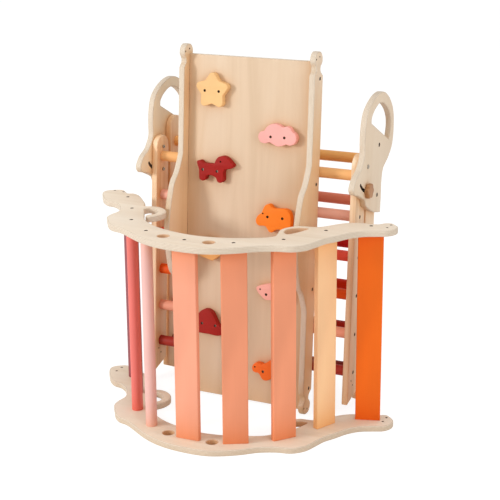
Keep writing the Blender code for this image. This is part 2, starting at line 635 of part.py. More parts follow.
def build_arch(collection, parent):
    dowels = scaled(DOWEL_SHARES, ARCH_SPAN, ARCH_DEPTH)
    slats = scaled(SLAT_SHARES, ARCH_SPAN, ARCH_DEPTH)
    hand_hole = smooth_line(scaled(HAND_HOLE_SHARES, ARCH_SPAN, ARCH_DEPTH), True)
    pegs = [circle(place, PEG_HOLE_RADIUS, PEG_HOLE_SIDES)
            for place in scaled(PEG_HOLE_SHARES, ARCH_SPAN, ARCH_DEPTH)]
    loops = [arch_outline(), hand_hole] + pegs
    for side, base in (("bottom", 0), ("top", ARCH_INNER)):
        mesh = outline_mesh("arch_plate", loops, ARCH_THICK, LEVEL, base, chamfered=1)
        add_piece("arch_plate_" + side, mesh, collection, parent, BIRCH)
    low = ARCH_THICK + SEAT_GAP
    high = ARCH_INNER - SEAT_GAP
    for number, (place, colour) in enumerate(zip(dowels, DOWEL_COLOURS), 1):
        mesh = rod_mesh("arch_dowel", (0, 0, low), (0, 0, high), DOWEL_RADIUS, DOWEL_SIDES)
        add_piece(f"arch_dowel_{number}", mesh, collection, parent, colour, 0.35, location=(*place, 0))
    size = (SLAT_WIDTH, SLAT_THICK, high - low)
    for number, (place, turn, colour) in enumerate(zip(slats, SLAT_TURNS, SLAT_COLOURS), 1):
        middle = (*place, (low + high) / 2)
        add_box(f"arch_slat_{number}", size, collection, parent, colour, middle, math.radians(turn),
                SLAT_EDGE)


def leaning_line(away, height, pivot_height):
    """How far behind the pivot a line of the leaning unit passes a height above the floor."""
    along = (height - pivot_height + away * SIN_LEAN) / COS_LEAN
    return away * COS_LEAN + along * SIN_LEAN


def build():
    clear_scene()
    parts = make_collection("pikler_triangle_set")
    guides = make_collection("joint_axes")
    half = STILE_DEPTH / 2
    back_corner = -BACK_LENGTH - half * FOOT_CUT
    pivot_height = (FRAME_PITCH + half) * SIN_LEAN - back_corner * COS_LEAN
    rail_face = RAMP_FACE - RAIL_FRONT - SWELL_RISE
    arch_front = leaning_line(rail_face, ARCH_INNER, pivot_height) - HOOK_GAP - HOOK_BACK_SHARE * ARCH_DEPTH
    plan = arch_outline()
    front_reach = arch_front + min(y for x, y in plan)
    back_reach = max(y * COS_LEAN + z * SIN_LEAN for y, z in head_outline())
    pivot_back = -(front_reach + back_reach) / 2
    arch_aside = -(min(x for x, y in plan) + max(x for x, y in plan)) / 2

    pivot = make_empty("triangle_pivot", guides, (TRIANGLE_ASIDE, pivot_back, pivot_height), -LEAN)
    build_front_frame(parts, pivot)
    build_back_frame(parts, pivot)
    build_head_plates(parts, pivot)
    build_bolts(parts, pivot)
    build_knobs(parts, pivot)
    foot = (RAMP_ASIDE - TRIANGLE_ASIDE, RAMP_FACE, ramp_foot(pivot_height))
    build_ramp(parts, make_empty("ramp_foot", guides, foot, 0, pivot))
    build_arch(parts, make_empty("arch_place", guides, (arch_aside, arch_front + pivot_back, 0)))
    bpy.context.view_layer.update()


build()
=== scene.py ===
"""How a wooden Pikler triangle set looks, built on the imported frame.

The set stands as for a display: the folded climbing triangle leans back, the climbing ramp
leans on its rungs, and the climbing arch stands in front of both on one of its side plates.
X points right, Y away from the viewer and Z up. All lengths are in metres.
"""
import json
import math

import bmesh
import bpy
from mathutils import Matrix, Vector
from mathutils.geometry import tessellate_polygon


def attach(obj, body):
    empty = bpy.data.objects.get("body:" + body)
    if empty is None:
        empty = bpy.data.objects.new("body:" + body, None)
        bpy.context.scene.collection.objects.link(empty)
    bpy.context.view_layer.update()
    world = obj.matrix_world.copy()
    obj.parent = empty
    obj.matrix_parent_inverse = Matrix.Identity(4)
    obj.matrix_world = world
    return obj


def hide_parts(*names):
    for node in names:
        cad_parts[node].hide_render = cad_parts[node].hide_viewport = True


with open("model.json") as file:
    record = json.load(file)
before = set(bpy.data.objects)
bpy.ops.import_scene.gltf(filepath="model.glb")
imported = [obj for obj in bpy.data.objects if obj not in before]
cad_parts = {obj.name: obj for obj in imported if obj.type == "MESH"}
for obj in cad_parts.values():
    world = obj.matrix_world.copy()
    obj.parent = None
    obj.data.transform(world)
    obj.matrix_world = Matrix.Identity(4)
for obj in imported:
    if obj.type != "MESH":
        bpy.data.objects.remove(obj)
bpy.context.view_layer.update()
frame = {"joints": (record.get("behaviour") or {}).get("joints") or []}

# Camera
# A long lens at a grown-up's eye height stands to the right of the set and looks down on it.
CAMERA_PLACE = (1.7575, -3.4462, 1.652)
CAMERA_YAW = math.radians(26.26)
CAMERA_PITCH = math.radians(16.5)
CAMERA_ROLL = math.radians(-0.41)
FOCAL_SHARE = 1347 / 500       # focal length over the picture's width

scene = bpy.context.scene
camera = bpy.data.objects.new("camera", bpy.data.cameras.new("camera"))
scene.collection.objects.link(camera)
camera.data.lens = FOCAL_SHARE * camera.data.sensor_width
camera.matrix_world = (Matrix.Translation(CAMERA_PLACE) @ Matrix.Rotation(CAMERA_YAW, 4, "Z")
                       @ Matrix.Rotation(math.pi / 2 - CAMERA_PITCH, 4, "X")
                       @ Matrix.Rotation(CAMERA_ROLL, 4, "Z"))
scene.camera = camera

# Studio
# A wide pale floor under even white light. A large soft lamp stands front left, a weaker one
# front right and one hangs above. The camera sees floor and background as white.
FLOOR_HALF = 60
FLOOR_TONE = 0.9
SEEN_FLOOR_TONE = 0.3
SEEN_FLOOR_GLOW = 0.84
WORLD_GLOW = 0.63
WORLD_TINT = (1, 0.96, 0.91, 1)
LAMP_TINT = (0.97, 0.99, 1)
LAMPS = (                      # name, place, what it faces, width, power
    ("key_lamp", (-3.6, -3.9, 2.1), (0, 0, 0.5), 1.2, 153),
    ("fill_lamp", (4.4, -2.4, 1.8), (0, 0, 0.5), 2.4, 62),
    ("top_lamp", (0.2, -0.8, 4.6), (0, 0, 0.5), 2.6, 30),
)


def add_node(tree, kind, inputs=None, **settings):
    """A node with its settings, and its inputs as values or as the sockets that feed them."""
    made = tree.nodes.new(kind)
    for name, value in settings.items():
        setattr(made, name, value)
    for socket, value in (inputs or {}).items():
        if isinstance(value, bpy.types.NodeSocket):
            tree.links.new(value, made.inputs[socket])
        else:
            made.inputs[socket].default_value = value
    return made


def result(tree, kind, inputs=None, **settings):
    """What a new node gives first."""
    return add_node(tree, kind, inputs, **settings).outputs[0]


def reckoned(tree, operation, first, second):
    return result(tree, "ShaderNodeMath", {0: first, 1: second}, operation=operation)


def grey(tone):
    return (tone, tone, tone, 1)


def end_stage(tree, kind, lighting, seen):
    """One shader lights the scene, the other shows where camera, reflection or glass meets it."""
    path = add_node(tree, "ShaderNodeLightPath").outputs
    direct = reckoned(tree, "MAXIMUM", path["Is Camera Ray"], path["Is Glossy Ray"])
    direct = reckoned(tree, "MAXIMUM", direct, path["Is Transmission Ray"])
    both = result(tree, "ShaderNodeMixShader", {0: direct, 1: lighting, 2: seen})
    add_node(tree, kind, {"Surface": both})


def empty_tree(owner):
    owner.use_nodes = True
    owner.node_tree.nodes.clear()
    return owner.node_tree


def add_object(name, shape):
    shape.name = name
    added = bpy.data.objects.new(name, shape)
    scene.collection.objects.link(added)
    return added


def make_floor():
    mesh = bpy.data.meshes.new("studio_floor")
    corners = [(x * FLOOR_HALF, y * FLOOR_HALF, 0) for x, y in ((-1, -1), (1, -1), (1, 1), (-1, 1))]
    mesh.from_pydata(corners, [], [(0, 1, 2, 3)])
    material = bpy.data.materials.new("studio_floor")
    tree = empty_tree(material)
    plain = result(tree, "ShaderNodeBsdfDiffuse", {"Color": grey(FLOOR_TONE)})
    shaded = result(tree, "ShaderNodeBsdfDiffuse", {"Color": grey(SEEN_FLOOR_TONE)})
    glow = result(tree, "ShaderNodeEmission", {"Strength": SEEN_FLOOR_GLOW})
    bright = result(tree, "ShaderNodeAddShader", {0: shaded, 1: glow})
    end_stage(tree, "ShaderNodeOutputMaterial", plain, bright)
    mesh.materials.append(material)
    add_object("studio_floor", mesh)


def make_world():
    world = bpy.data.worlds.new("studio")
    tree = empty_tree(world)
    light = result(tree, "ShaderNodeBackground", {"Color": WORLD_TINT, "Strength": WORLD_GLOW})
    white = result(tree, "ShaderNodeBackground", {"Color": grey(1), "Strength": 1})
    end_stage(tree, "ShaderNodeOutputWorld", light, white)
    scene.world = world


def make_lamp(name, place, target, width, power):
    lamp = bpy.data.lights.new(name, "AREA")
    lamp.shape = "SQUARE"
    lamp.size = width
    lamp.energy = power
    lamp.color = LAMP_TINT
    holder = add_object(name, lamp)
    holder.location = place
    holder.rotation_euler = (Vector(place) - Vector(target)).to_track_quat("Z", "Y").to_euler()


make_floor()
make_world()
for lamp in LAMPS:
    make_lamp(*lamp)
scene.view_settings.view_transform = "Standard"

# Front stiles
# Two planed pine boards carry the front rungs. Their tops are round about the pivot bolts, and
# their feet are sawn at a slant so that they stand flat once the triangle is opened.
LEAN = math.radians(4.2)
OPENING = math.radians(42)
TRIANGLE_WIDTH = 0.688
STILE_THICK = 0.0195
STILE_DEPTH = 0.072
FRONT_LENGTH = 0.712
STILE_ROUNDING = 0.003
SCREW_BORE = 0.0054
BOLT_BORE = 0.0043
LOCK_DISTANCE = 0.0711
FRONT_RUNG_SHARES = (0.042, 0.213, 0.385, 0.551, 0.719, 0.886)
STRETCHER_BORE = 0.0026        # two spare holes near each foot
STRETCHER_PLACES = ((-0.013, -0.655), (0.001, -0.672))
# How a wood looks: its figure (across, along, detail, waviness), where its tones lie in it, finer
# marks (across, along, detail, share of the dark tone), roughness and relief (strength, depth)
PINE_GRAIN = ((60, 1.1, 3, 0.5), (0.3, 0.5, 0.7), ((700, 10, 3, 0.35),), (0.45, 0.6), (0.25, 0.0002))
# The left and right stiles are one pine in two sets of tones, set apart to paint in how light and shade fall
# on each side.
PINE_TONES = {"left": ((228, 190, 152), (246, 215, 182), (250, 225, 196)),
              "right": ((214, 182, 148), (238, 211, 180), (243, 219, 191))}
# Painted shade: the very dark tones of the walls of bores, slots and eyes.
BORE_SHADE_TONES = ((52, 34, 22), (92, 64, 44))
BORE_GRAIN = (1500, 2, (0.7, 0.9), (0.3, 0.0002))    # scale, detail, roughness and relief
SPECKLE_STOPS = (0.3, 0.7)
NOISE_ROUGHNESS = 0.55
BARE_SHINE = 0.5
SEALED_SHINE = 0.25
# Painted shade: how far, how strongly and in what tint wood is made darker and warmer near other wood, as if
# by bounced light.
PAINTED_SHADE_REACH = 0.12
PAINTED_SHADE_FROM = 0.4
PAINTED_SHADE_SAMPLES = 6
PAINTED_SHADE_TINT = (0.94, 0.76, 0.55, 1)
SIDES = (("left", -1), ("right", 1))
EDGE_ROUNDS = 4                # steps of a rounded edge
FINE_TURN = math.radians(4)    # most that a curve turns at a point
SHARP_ANGLE = math.radians(35)
ROUND_SIDES = 48
EYE_SIDES = 20
EDGE_FINISH, BORE_FINISH, HOLE_FINISH = 1, 2, 3      # the faces have finish 0

pivot = next(joint["pos_m"] for joint in frame["joints"] if joint["name"] == "triangle_fold")
triangle = Matrix.Translation(pivot) @ Matrix.Rotation(-LEAN, 4, "X")
# An outline's own axes, across, up and through, laid on a piece that stands on its edge
ON_EDGE = Matrix(((0, 0, 1, 0), (1, 0, 0, 0), (0, 1, 0, 0), (0, 0, 0, 1)))
foot_slope = math.tan(OPENING / 2)
front_rung_places = [(0, -share * FRONT_LENGTH) for share in FRONT_RUNG_SHARES]


def around(centre, radius, turn):
    return (centre[0] + radius * math.cos(turn), centre[1] + radius * math.sin(turn))


def circle(centre, radius, sides=ROUND_SIDES):
    return [around(centre, radius, 2 * math.pi * step / sides) for step in range(sides)]


def arc(centre, radius, start, end):
    steps = max(2, math.ceil(abs(end - start) / FINE_TURN))
    return [around(centre, radius, start + (end - start) * step / steps) for step in range(steps + 1)]


def stile_outline(middle, top, foot, slope):
    """A board with a round top about (middle, top) and a slanting foot."""
    half = STILE_DEPTH / 2
    head = arc((middle, top), half, 0, math.pi)
    return head + [(middle - half, foot - half * slope), (middle + half, foot + half * slope)]


def turned_about(outline, wanted):
    """The outline with its points listed the wanted way round: 1 anticlockwise, -1 clockwise."""
    area = sum(a[0] * b[1] - b[0] * a[1] for a, b in zip(outline, outline[1:] + outline[:1]))
    return outline if area * wanted > 0 else outline[::-1]


def moved_in(outline, distance):
    """An outline moved into the wood. It runs anticlockwise round wood and clockwise round a hole."""
    moved = []
    for index, here in enumerate(outline):
        coming = (here - outline[index - 1]).normalized()
        going = (outline[(index + 1) % len(outline)] - here).normalized()
        into = Vector((-coming.y - going.y, coming.x + going.x))
        moved.append(here + into * (2 * distance / into.length_squared))
    return moved


def solid_piece(name, solid, place, finishes):
    """The piece that a closed shape makes once it is moved to its place."""
    bmesh.ops.recalc_face_normals(solid, faces=solid.faces)
    solid.transform(place)
    mesh = bpy.data.meshes.new(name)
    solid.to_mesh(mesh)
    solid.free()
    for finish in finishes:
        mesh.materials.append(finish)
    mesh.set_sharp_from_angle(angle=SHARP_ANGLE)
    return add_object(name, mesh)


def sawn_board(name, outlines, bores, thickness, rounding, place, finishes):
    """A flat piece sawn to closed outlines, the outer one first, with rounded edges and sharp bores.

    place puts the middle of its thickness. Finishes are those of the faces, the sawn edge, the
    bores and the walls of sawn holes.
    """
    solid = bmesh.new()
    level = thickness / 2
    turns = [math.pi / 2 * step / EDGE_ROUNDS for step in range(EDGE_ROUNDS + 1)]
    rounded = [(rounding * (1 - math.sin(turn)), level - rounding * (1 - math.cos(turn))) for turn in turns]
    rounded += [(inward, -height) for inward, height in reversed(rounded)]
    brims = ([], [])
    for number, outline in enumerate(outlines + bores):
        drilled = number >= len(outlines)
        line = [Vector(point) for point in turned_about(outline, -1 if number else 1)]
        rings = []
        for inward, height in ((0, level), (0, -level)) if drilled else rounded:
            rings.append([solid.verts.new((*point, height)) for point in moved_in(line, inward)])
        for high, low in zip(rings, rings[1:]):
            for index in range(len(line)):
                wall = solid.faces.new((high[index - 1], high[index], low[index], low[index - 1]))
                wall.material_index = BORE_FINISH if drilled else HOLE_FINISH if number else EDGE_FINISH
                wall.smooth = True
        brims[0].append(rings[0])
        brims[1].append(rings[-1])
    for brim in brims:
        corners = [corner for ring in brim for corner in ring]
        for triangle_corners in tessellate_polygon([[corner.co for corner in ring] for ring in brim]):
            solid.faces.new([corners[index] for index in triangle_corners])
    return solid_piece(name, solid, place, finishes)


def colour(red, green, blue):
    """A colour as seen, in bytes, as the numbers that the shader takes."""
    seen = [byte / 255 for byte in (red, green, blue)]
    return (*(part / 12.92 if part <= 0.04045 else ((part + 0.055) / 1.055) ** 2.4 for part in seen), 1)


def new_finish(name):
    material = bpy.data.materials.new(name)
    material.use_nodes = True
    return material, material.node_tree, material.node_tree.nodes["Principled BSDF"]


def surface_place(tree):
    return add_node(tree, "ShaderNodeTexCoord").outputs["Object"]


def along_grain(tree, guide, across, along):
    """Coordinates in the piece's own wood: X through its thickness and Z along its fibres."""
    back = guide.inverted()
    own = result(tree, "ShaderNodeMapping", {
        "Vector": surface_place(tree), "Location": back.translation, "Rotation": back.to_euler()})
    return result(tree, "ShaderNodeVectorMath", {0: own, 1: (across, across, along)}, operation="MULTIPLY")


def noise(tree, vector, detail, scale=1, distortion=0):
    return result(tree, "ShaderNodeTexNoise", {
        "Vector": vector, "Scale": scale, "Detail": detail, "Roughness": NOISE_ROUGHNESS,
        "Distortion": distortion})


def colour_run(tree, share, stops):
    """A run of colours, each as (place, colour)."""
    node = add_node(tree, "ShaderNodeValToRGB", {0: share})
    while len(node.color_ramp.elements) < len(stops):
        node.color_ramp.elements.new(1)
    for element, (place, tone) in zip(node.color_ramp.elements, stops):
        element.position = place
        element.color = tone
    return node.outputs[0]


def spread(tree, value, low, high):
    """A pattern from 0 to 1, stretched to run from low to high."""
    return result(tree, "ShaderNodeMapRange", {0: value, 3: low, 4: high})


def mixed(tree, share, first, second, blend="MIX"):
    return add_node(tree, "ShaderNodeMix", {0: share, 6: first, 7: second}, data_type="RGBA",
                    blend_type=blend).outputs[2]


def with_painted_shade(tree, tone, painted_shade, reach=PAINTED_SHADE_REACH):
    """Painted shade and painted warm bounce light: wood turns darker and warmer where other wood stands close
    to it.
    """
    shade = add_node(tree, "ShaderNodeAmbientOcclusion", {"Distance": reach}, samples=PAINTED_SHADE_SAMPLES)
    share = result(tree, "ShaderNodeMapRange", {0: shade.outputs["AO"], 1: PAINTED_SHADE_FROM, 2: 1, 3: painted_shade, 4: 0})
    return mixed(tree, share, tone, mixed(tree, 1, tone, PAINTED_SHADE_TINT, "MULTIPLY"))


def dress(tree, shader, tone, roughness, relief, shine=BARE_SHINE):
    """Joins up a finish: colour, roughness (pattern, low, high) and relief (strength, depth, pattern)."""
    tree.links.new(tone, shader.inputs["Base Color"])
    tree.links.new(spread(tree, *roughness), shader.inputs["Roughness"])
    bump = result(tree, "ShaderNodeBump", dict(zip(("Strength", "Distance", "Height"), relief)))
    tree.links.new(bump, shader.inputs["Normal"])
    shader.inputs["Specular IOR Level"].default_value = shine


def wood(name, guide, tones, grain, painted_shade=0, reach=PAINTED_SHADE_REACH, shine=SEALED_SHINE):
    """Sealed or painted wood: its figure in three tones, with finer dark marks along the fibres, and painted
    shade near other wood if asked.
    """
    material, tree, shader = new_finish(name)
    (across, along, detail, waviness), stops, finer, roughness, relief = grain
    tones = [colour(*tone) for tone in tones]
    figure = noise(tree, along_grain(tree, guide, across, along), detail, distortion=waviness)
    tone = colour_run(tree, figure, list(zip(stops, tones)))
    for across, along, detail, share in finer:
        marks = noise(tree, along_grain(tree, guide, across, along), detail)
        tone = mixed(tree, spread(tree, marks, 0, share), tone, tones[0])
    if painted_shade:
        tone = with_painted_shade(tree, tone, painted_shade, reach)
    dress(tree, shader, tone, (figure, *roughness), (*relief, marks), shine)
    return material


def speckled(name, tones, grain, metallic=0):
    """A finish with fine marks that run no particular way."""
    material, tree, shader = new_finish(name)
    scale, detail, roughness, relief = grain
    marks = noise(tree, surface_place(tree), detail, scale)
    tone = colour_run(tree, marks, [(stop, colour(*tone)) for stop, tone in zip(SPECKLE_STOPS, tones)])
    dress(tree, shader, tone, (marks, *roughness), (*relief, marks))
    shader.inputs["Metallic"].default_value = metallic
    return material


# The wall of a drilled hole, slot or eye is rough end grain, a little darker in itself and painted much
# darker still as painted shade deep in the narrow hole.
drilled = speckled("bore_painted_shade", BORE_SHADE_TONES, BORE_GRAIN)
front_bores = [circle((0, 0), BOLT_BORE), circle((0, -LOCK_DISTANCE), BOLT_BORE)]
front_bores += [circle(place, SCREW_BORE) for place in front_rung_places[1:]]
front_bores += [circle(place, STRETCHER_BORE) for place in STRETCHER_PLACES]
front_outline = stile_outline(0, 0, -FRONT_LENGTH, foot_slope)
stile_middle = (TRIANGLE_WIDTH - STILE_THICK) / 2


def add_stiles(kind, guide, outline, bores):
    """Both stiles of one frame, upright on their edges."""
    for side, way in SIDES:
        place = triangle @ Matrix.Translation((way * stile_middle, 0, 0)) @ ON_EDGE
        # The pine gets painted shade: darker and warmer near other wood.
        pine = wood(f"{kind}_pine_{side}", guide, PINE_TONES[side], PINE_GRAIN, 1)
        stile = sawn_board(f"stile_{kind}_{side}", [outline], bores, STILE_THICK, STILE_ROUNDING, place,
                           (pine, pine, drilled))
        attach(stile, kind + "_frame")
        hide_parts(f"{kind}_stile_{side}")


add_stiles("front", triangle, front_outline, front_bores)

# Front rungs
# Six turned wooden bars, each painted in a tone of its own, stand between the front stiles.
# Below the head plates a screw in each end holds them.
RUNG_RADIUS = 0.016
RUNG_FIT = 0.0003
BAR_CHAMFER = 0.0012
PAINT_SHINE = 0.2
PAINT_GRAIN = ((9, 3, 2, 0), (0.3, 0.5, 0.75), ((420, 6, 3, 0.35),), (0.46, 0.6), (0.25, 0.00015))
PAINT_DEEP = 0.95
PAINT_THIN = (1.03, 3)         # times the tone and added to it, where the paint is thin
FRONT_RUNG_PAINTS = ((242, 184, 122), (240, 178, 158), (238, 90, 72), (232, 88, 18), (240, 164, 136),
                     (165, 50, 38))
# Turns a bar's own length, Z, to lie along X
SIDEWAYS = Matrix.Rotation(math.pi / 2, 4, "Y")


def new_tree(name, inputs):
    """A tree of geometry nodes that takes a mesh and named inputs, and the sockets of these."""
    tree = bpy.data.node_groups.new(name, "GeometryNodeTree")
    for label, kind in {"Geometry": "Geometry", **inputs, "Finish": "Material"}.items():
        tree.interface.new_socket(label, in_out="INPUT", socket_type="NodeSocket" + kind)
    tree.interface.new_socket("Geometry", in_out="OUTPUT", socket_type="NodeSocketGeometry")
    return tree, add_node(tree, "NodeGroupInput").outputs


def end_tree(tree, shape, finish):
    whole = result(tree, "GeometryNodeRealizeInstances", {"Geometry": shape})
    dressed = result(tree, "GeometryNodeSetMaterial", {"Geometry": whole, "Material": finish})
    add_node(tree, "NodeGroupOutput", {"Geometry": dressed})
    return tree


def named(tree, attribute, kind):
    return result(tree, "GeometryNodeInputNamedAttribute", {"Name": attribute}, data_type=kind)


def round_bar_tree():
    """A round bar along a line of points, each with a girth that narrows or fills the bar there."""
    tree, given = new_tree("round_bar", {"Radius": "Float", "Sides": "Int"})
    line = result(tree, "GeometryNodeMeshToCurve", {"Mesh": given["Geometry"]})
    girth = named(tree, "girth", "FLOAT")
    shaped = result(tree, "GeometryNodeSetCurveRadius", {"Curve": line, "Radius": girth})
    ring = result(tree, "GeometryNodeCurvePrimitiveCircle", {
        "Resolution": given["Sides"], "Radius": given["Radius"]})
    bar = result(tree, "GeometryNodeCurveToMesh", {"Curve": shaped, "Profile Curve": ring, "Fill Caps": True})
    return end_tree(tree, bar, given["Finish"])


def from_tree(name, tree, values, mesh):
    """Runs a tree with named values on a mesh and keeps what it makes as a plain mesh."""
    holder = bpy.data.objects.new(name, mesh)
    modifier = holder.modifiers.new("made", "NODES")
    modifier.node_group = tree
    for item in tree.interface.items_tree:
        if item.in_out == "INPUT" and item.name in values:
            modifier[item.identifier] = values[item.name]
    scene.collection.objects.link(holder)
    bpy.context.view_layer.update()
    made = bpy.data.meshes.new_from_object(holder.evaluated_get(bpy.context.evaluated_depsgraph_get()))
    bpy.data.objects.remove(holder, do_unlink=True)
    made.shade_smooth()
    made.set_sharp_from_angle(angle=SHARP_ANGLE)
    return add_object(name, made)


def round_bar(name, start, end, radius, paint):
    """A turned bar with a small chamfer at both ends."""
    step = (end - start).normalized() * BAR_CHAMFER
    line = bpy.data.meshes.new(name)
    line.from_pydata([start, start + step, end - step, end], [(0, 1), (1, 2), (2, 3)], [])
    girth = line.attributes.new("girth", "FLOAT", "POINT")
    narrow = 1 - BAR_CHAMFER / radius
    girth.data.foreach_set("value", (narrow, 1, 1, narrow))
    return from_tree(name, bars, {"Radius": radius, "Sides": ROUND_SIDES, "Finish": paint}, line)


def brushed_paint(name, tone, guide, painted_shade=0, shine=PAINT_SHINE):
    """Satin water-based paint: even, with faint brush and grain lines and a little unevenness, and painted
    shade near other wood if asked.
    """
    deep = [part * PAINT_DEEP for part in tone]
    times, added = PAINT_THIN
    thin = [min(255, part * times + added) for part in tone]
    return wood(name, guide, (deep, tone, thin), PAINT_GRAIN, painted_shade, shine=shine)


bars = round_bar_tree()
rung_reach = TRIANGLE_WIDTH / 2 - STILE_THICK - RUNG_FIT


def add_rungs(kind, places, paints):
    """The rungs of one frame, at their places behind and below the pivot."""
    reach = Vector((rung_reach, 0, 0))
    for number, ((back, up), tone) in enumerate(zip(places, paints), 1):
        middle = triangle @ Vector((0, back, up))
        paint = brushed_paint(f"paint_{kind}_rung_{number}", tone, Matrix.Translation(middle) @ SIDEWAYS)
        rung = round_bar(f"rung_{kind}_{number}", middle - reach, middle + reach, RUNG_RADIUS, paint)
        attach(rung, kind + "_frame")
        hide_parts(f"{kind}_rung_{number}")


add_rungs("front", front_rung_places, FRONT_RUNG_PAINTS)

# Rung screws
# Zinc-plated steel screws with a six-sided socket. They are sunk into the outer faces of the
# stiles and draw them onto the ends of the rungs.
SCREW_HEAD = 0.0046
SCREW_HEIGHT = 0.003
SCREW_SUNK = 0.0018
SOCKET_RADIUS = 0.0019
SOCKET_DEPTH = 0.0018
HEAD_SIDES = 24
ZINC_TONES = ((96, 92, 86), (150, 146, 140))
PLATING_GRAIN = (900, 3, (0.26, 0.42), (0.1, 0.00005))


def screw_tree():
    """A socket head at every point, turned to face the way that the point says."""
    tree, given = new_tree("socket_screws", {
        "Head Radius": "Float", "Head Height": "Float", "Socket Radius": "Float", "Socket Depth": "Float",
        "Sides": "Int"})
    head = result(tree, "GeometryNodeMeshCylinder", {
        "Vertices": given["Sides"], "Radius": given["Head Radius"], "Depth": given["Head Height"]})
    half = reckoned(tree, "MULTIPLY", given["Head Height"], -0.5)
    down = result(tree, "ShaderNodeCombineXYZ", {"Z": half})
    head = result(tree, "GeometryNodeTransform", {"Geometry": head, "Translation": down})
    twice = reckoned(tree, "MULTIPLY", given["Socket Depth"], 2)
    socket = result(tree, "GeometryNodeMeshCylinder", {
        "Vertices": 6, "Radius": given["Socket Radius"], "Depth": twice})
    cut = result(tree, "GeometryNodeMeshBoolean", {"Mesh 1": head, "Mesh 2": socket}, operation="DIFFERENCE")
    turn = result(tree, "FunctionNodeAlignRotationToVector", {
        "Vector": named(tree, "facing", "FLOAT_VECTOR")}, axis="Z")
    heads = result(tree, "GeometryNodeInstanceOnPoints", {
        "Points": given["Geometry"], "Instance": cut, "Rotation": turn})
    return end_tree(tree, heads, given["Finish"])


def plated_steel(name, tones):
    """Dull plating, finely marked all over."""
    return speckled(name, tones, PLATING_GRAIN, 1)


def drive_screws(name, body, places, sunk=SCREW_SUNK, head=SCREW_HEAD, finish=None):
    """Screws at (point on the surface, way out of it), all on one body."""
    mesh = bpy.data.meshes.new(name)
    mesh.from_pydata([Vector(point) - Vector(way) * sunk for point, way in places], [], [])
    facing = mesh.attributes.new("facing", "FLOAT_VECTOR", "POINT")
    for item, (_, way) in zip(facing.data, places):
        item.vector = way
    share = head / SCREW_HEAD
    screws = from_tree(name, screw_heads, {
        "Head Radius": head, "Head Height": SCREW_HEIGHT * share, "Socket Radius": SOCKET_RADIUS * share,
        "Socket Depth": SOCKET_DEPTH * share, "Sides": HEAD_SIDES, "Finish": finish or zinc}, mesh)
    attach(screws, body)
    return screws


def both_outer_faces(unit, reach, places):
    """The same places on the left and right outer faces of a leaning unit."""
    return [(unit @ Vector((way * reach, back, up)), (way, 0, 0)) for _, way in SIDES for back, up in places]


screw_heads = screw_tree()
zinc = plated_steel("zinc_steel", ZINC_TONES)
drive_screws("screws_front_stiles", "front_frame",
             both_outer_faces(triangle, TRIANGLE_WIDTH / 2, front_rung_places[1:]))

# Back frame
# Two more pine boards and six painted rungs fold up behind the front frame, a finger's
# width away from it.
FRAME_GAP = 0.014
BACK_TOP = 0.0546
BACK_GRAIN_SHIFT = (0.4, 0.1, 0.2)     # other boards than the front ones, so other grain
BACK_RUNG_SHARES = (-0.011, 0.162, 0.340, 0.517, 0.694, 0.869)
BACK_RUNG_PAINTS = ((248, 184, 110), (240, 146, 122), (206, 36, 36), (214, 50, 8), (178, 40, 22),
                    (136, 38, 24))

frame_pitch = STILE_DEPTH + FRAME_GAP
back_length = FRONT_LENGTH + frame_pitch * foot_slope
back_rung_places = [(frame_pitch, -share * back_length) for share in BACK_RUNG_SHARES]
back_guide = triangle @ Matrix.Translation(BACK_GRAIN_SHIFT)
back_outline = stile_outline(frame_pitch, BACK_TOP, -back_length, -foot_slope)
back_bores = [circle(place, SCREW_BORE) for place in back_rung_places[2:]]
add_stiles("back", back_guide, back_outline, back_bores)
add_rungs("back", back_rung_places, BACK_RUNG_PAINTS)
drive_screws("screws_back_stiles", "back_frame",
             both_outer_faces(triangle, TRIANGLE_WIDTH / 2, back_rung_places[2:]))

# Head plates
# Two birch plywood plates screwed to the back stiles hang the front frame from its pivot
# bolts. Each has a loop to carry it by and a curved slot that the lock bolt travels in.
HEAD_THICK = 0.018
HEAD_GAP = 0.0004
HEAD_DEPTH = 0.31
HEAD_HEIGHT = 0.366
HEAD_ROUNDING = 0.0022
HEAD_LOW_SCREW = 0.0962
SLOT_WIDTH = 0.010
SLOT_SLACK = math.radians(6)
# Outlines here and on the arch are thousandths of the width and height of the piece
HEAD_OUTLINE = (
    (387, -422), (239, -404), (129, -374), (39, -340), (0, -322), (-39, -270), (-97, -246), (-226, -208),
    (-310, -188), (-335, -158), (-300, -87), (-161, 3), (-94, 101), (-101, 191), (-100, 287), (-84, 369),
    (-52, 432), (19, 489), (113, 536), (210, 566), (323, 577), (408, 561), (472, 535), (537, 496),
    (600, 443), (645, 368), (660, 285), (661, 201), (629, 100), (542, 19), (406, -77), (389, -142),
    (392, -292), (387, -422))
HEAD_LOOP = (
    (545, 168), (568, 222), (579, 285), (567, 338), (521, 396), (444, 447), (345, 483), (240, 487),
    (150, 455), (85, 416), (50, 376), (52, 342))
NICKEL_TONES = ((140, 130, 118), (184, 174, 160))
HEAD_BORE = 0.0064
HEAD_SCREW = 0.0052
PLY_LAYERS = 9
LAYERS_AHEAD = 20              # keeps the count of layers above zero on both sides of the middle
GLUE_SHARE = 0.06              # half a glue line, over the thickness of two layers
EDGE_MARKS = (300, 40, 3, 0.4)
EDGE_ROUGHNESS = (0.5, 0.7)
EDGE_RELIEF = (0.3, 0.0002)
VENEER_GRAIN = ((12, 1.4, 3, 0.8), (0.25, 0.5, 0.75), ((160, 3, 3, 0.4), (900, 60, 2, 0.25)),
                (0.45, 0.6), (0.12, 0.00015))
# The left and right plates are one plywood in two sets of tones, set apart to paint in how light and shade
# fall on each side.
HEAD_TONES = {"left": ((229, 206, 174), (240, 221, 193), (244, 227, 202)),
              "right": ((221, 198, 171), (232, 213, 190), (236, 220, 200))}
LAYER_TONES = ((170, 148, 124), (217, 201, 182), (235, 223, 206))


def slope(before, here, after):
    """Direction of a flowing line at a point, weighed by how far its neighbours are."""
    back = (here - before).length
    ahead = (after - here).length
    return ((here - before) / back * ahead + (after - here) / ahead * back) / (back + ahead)


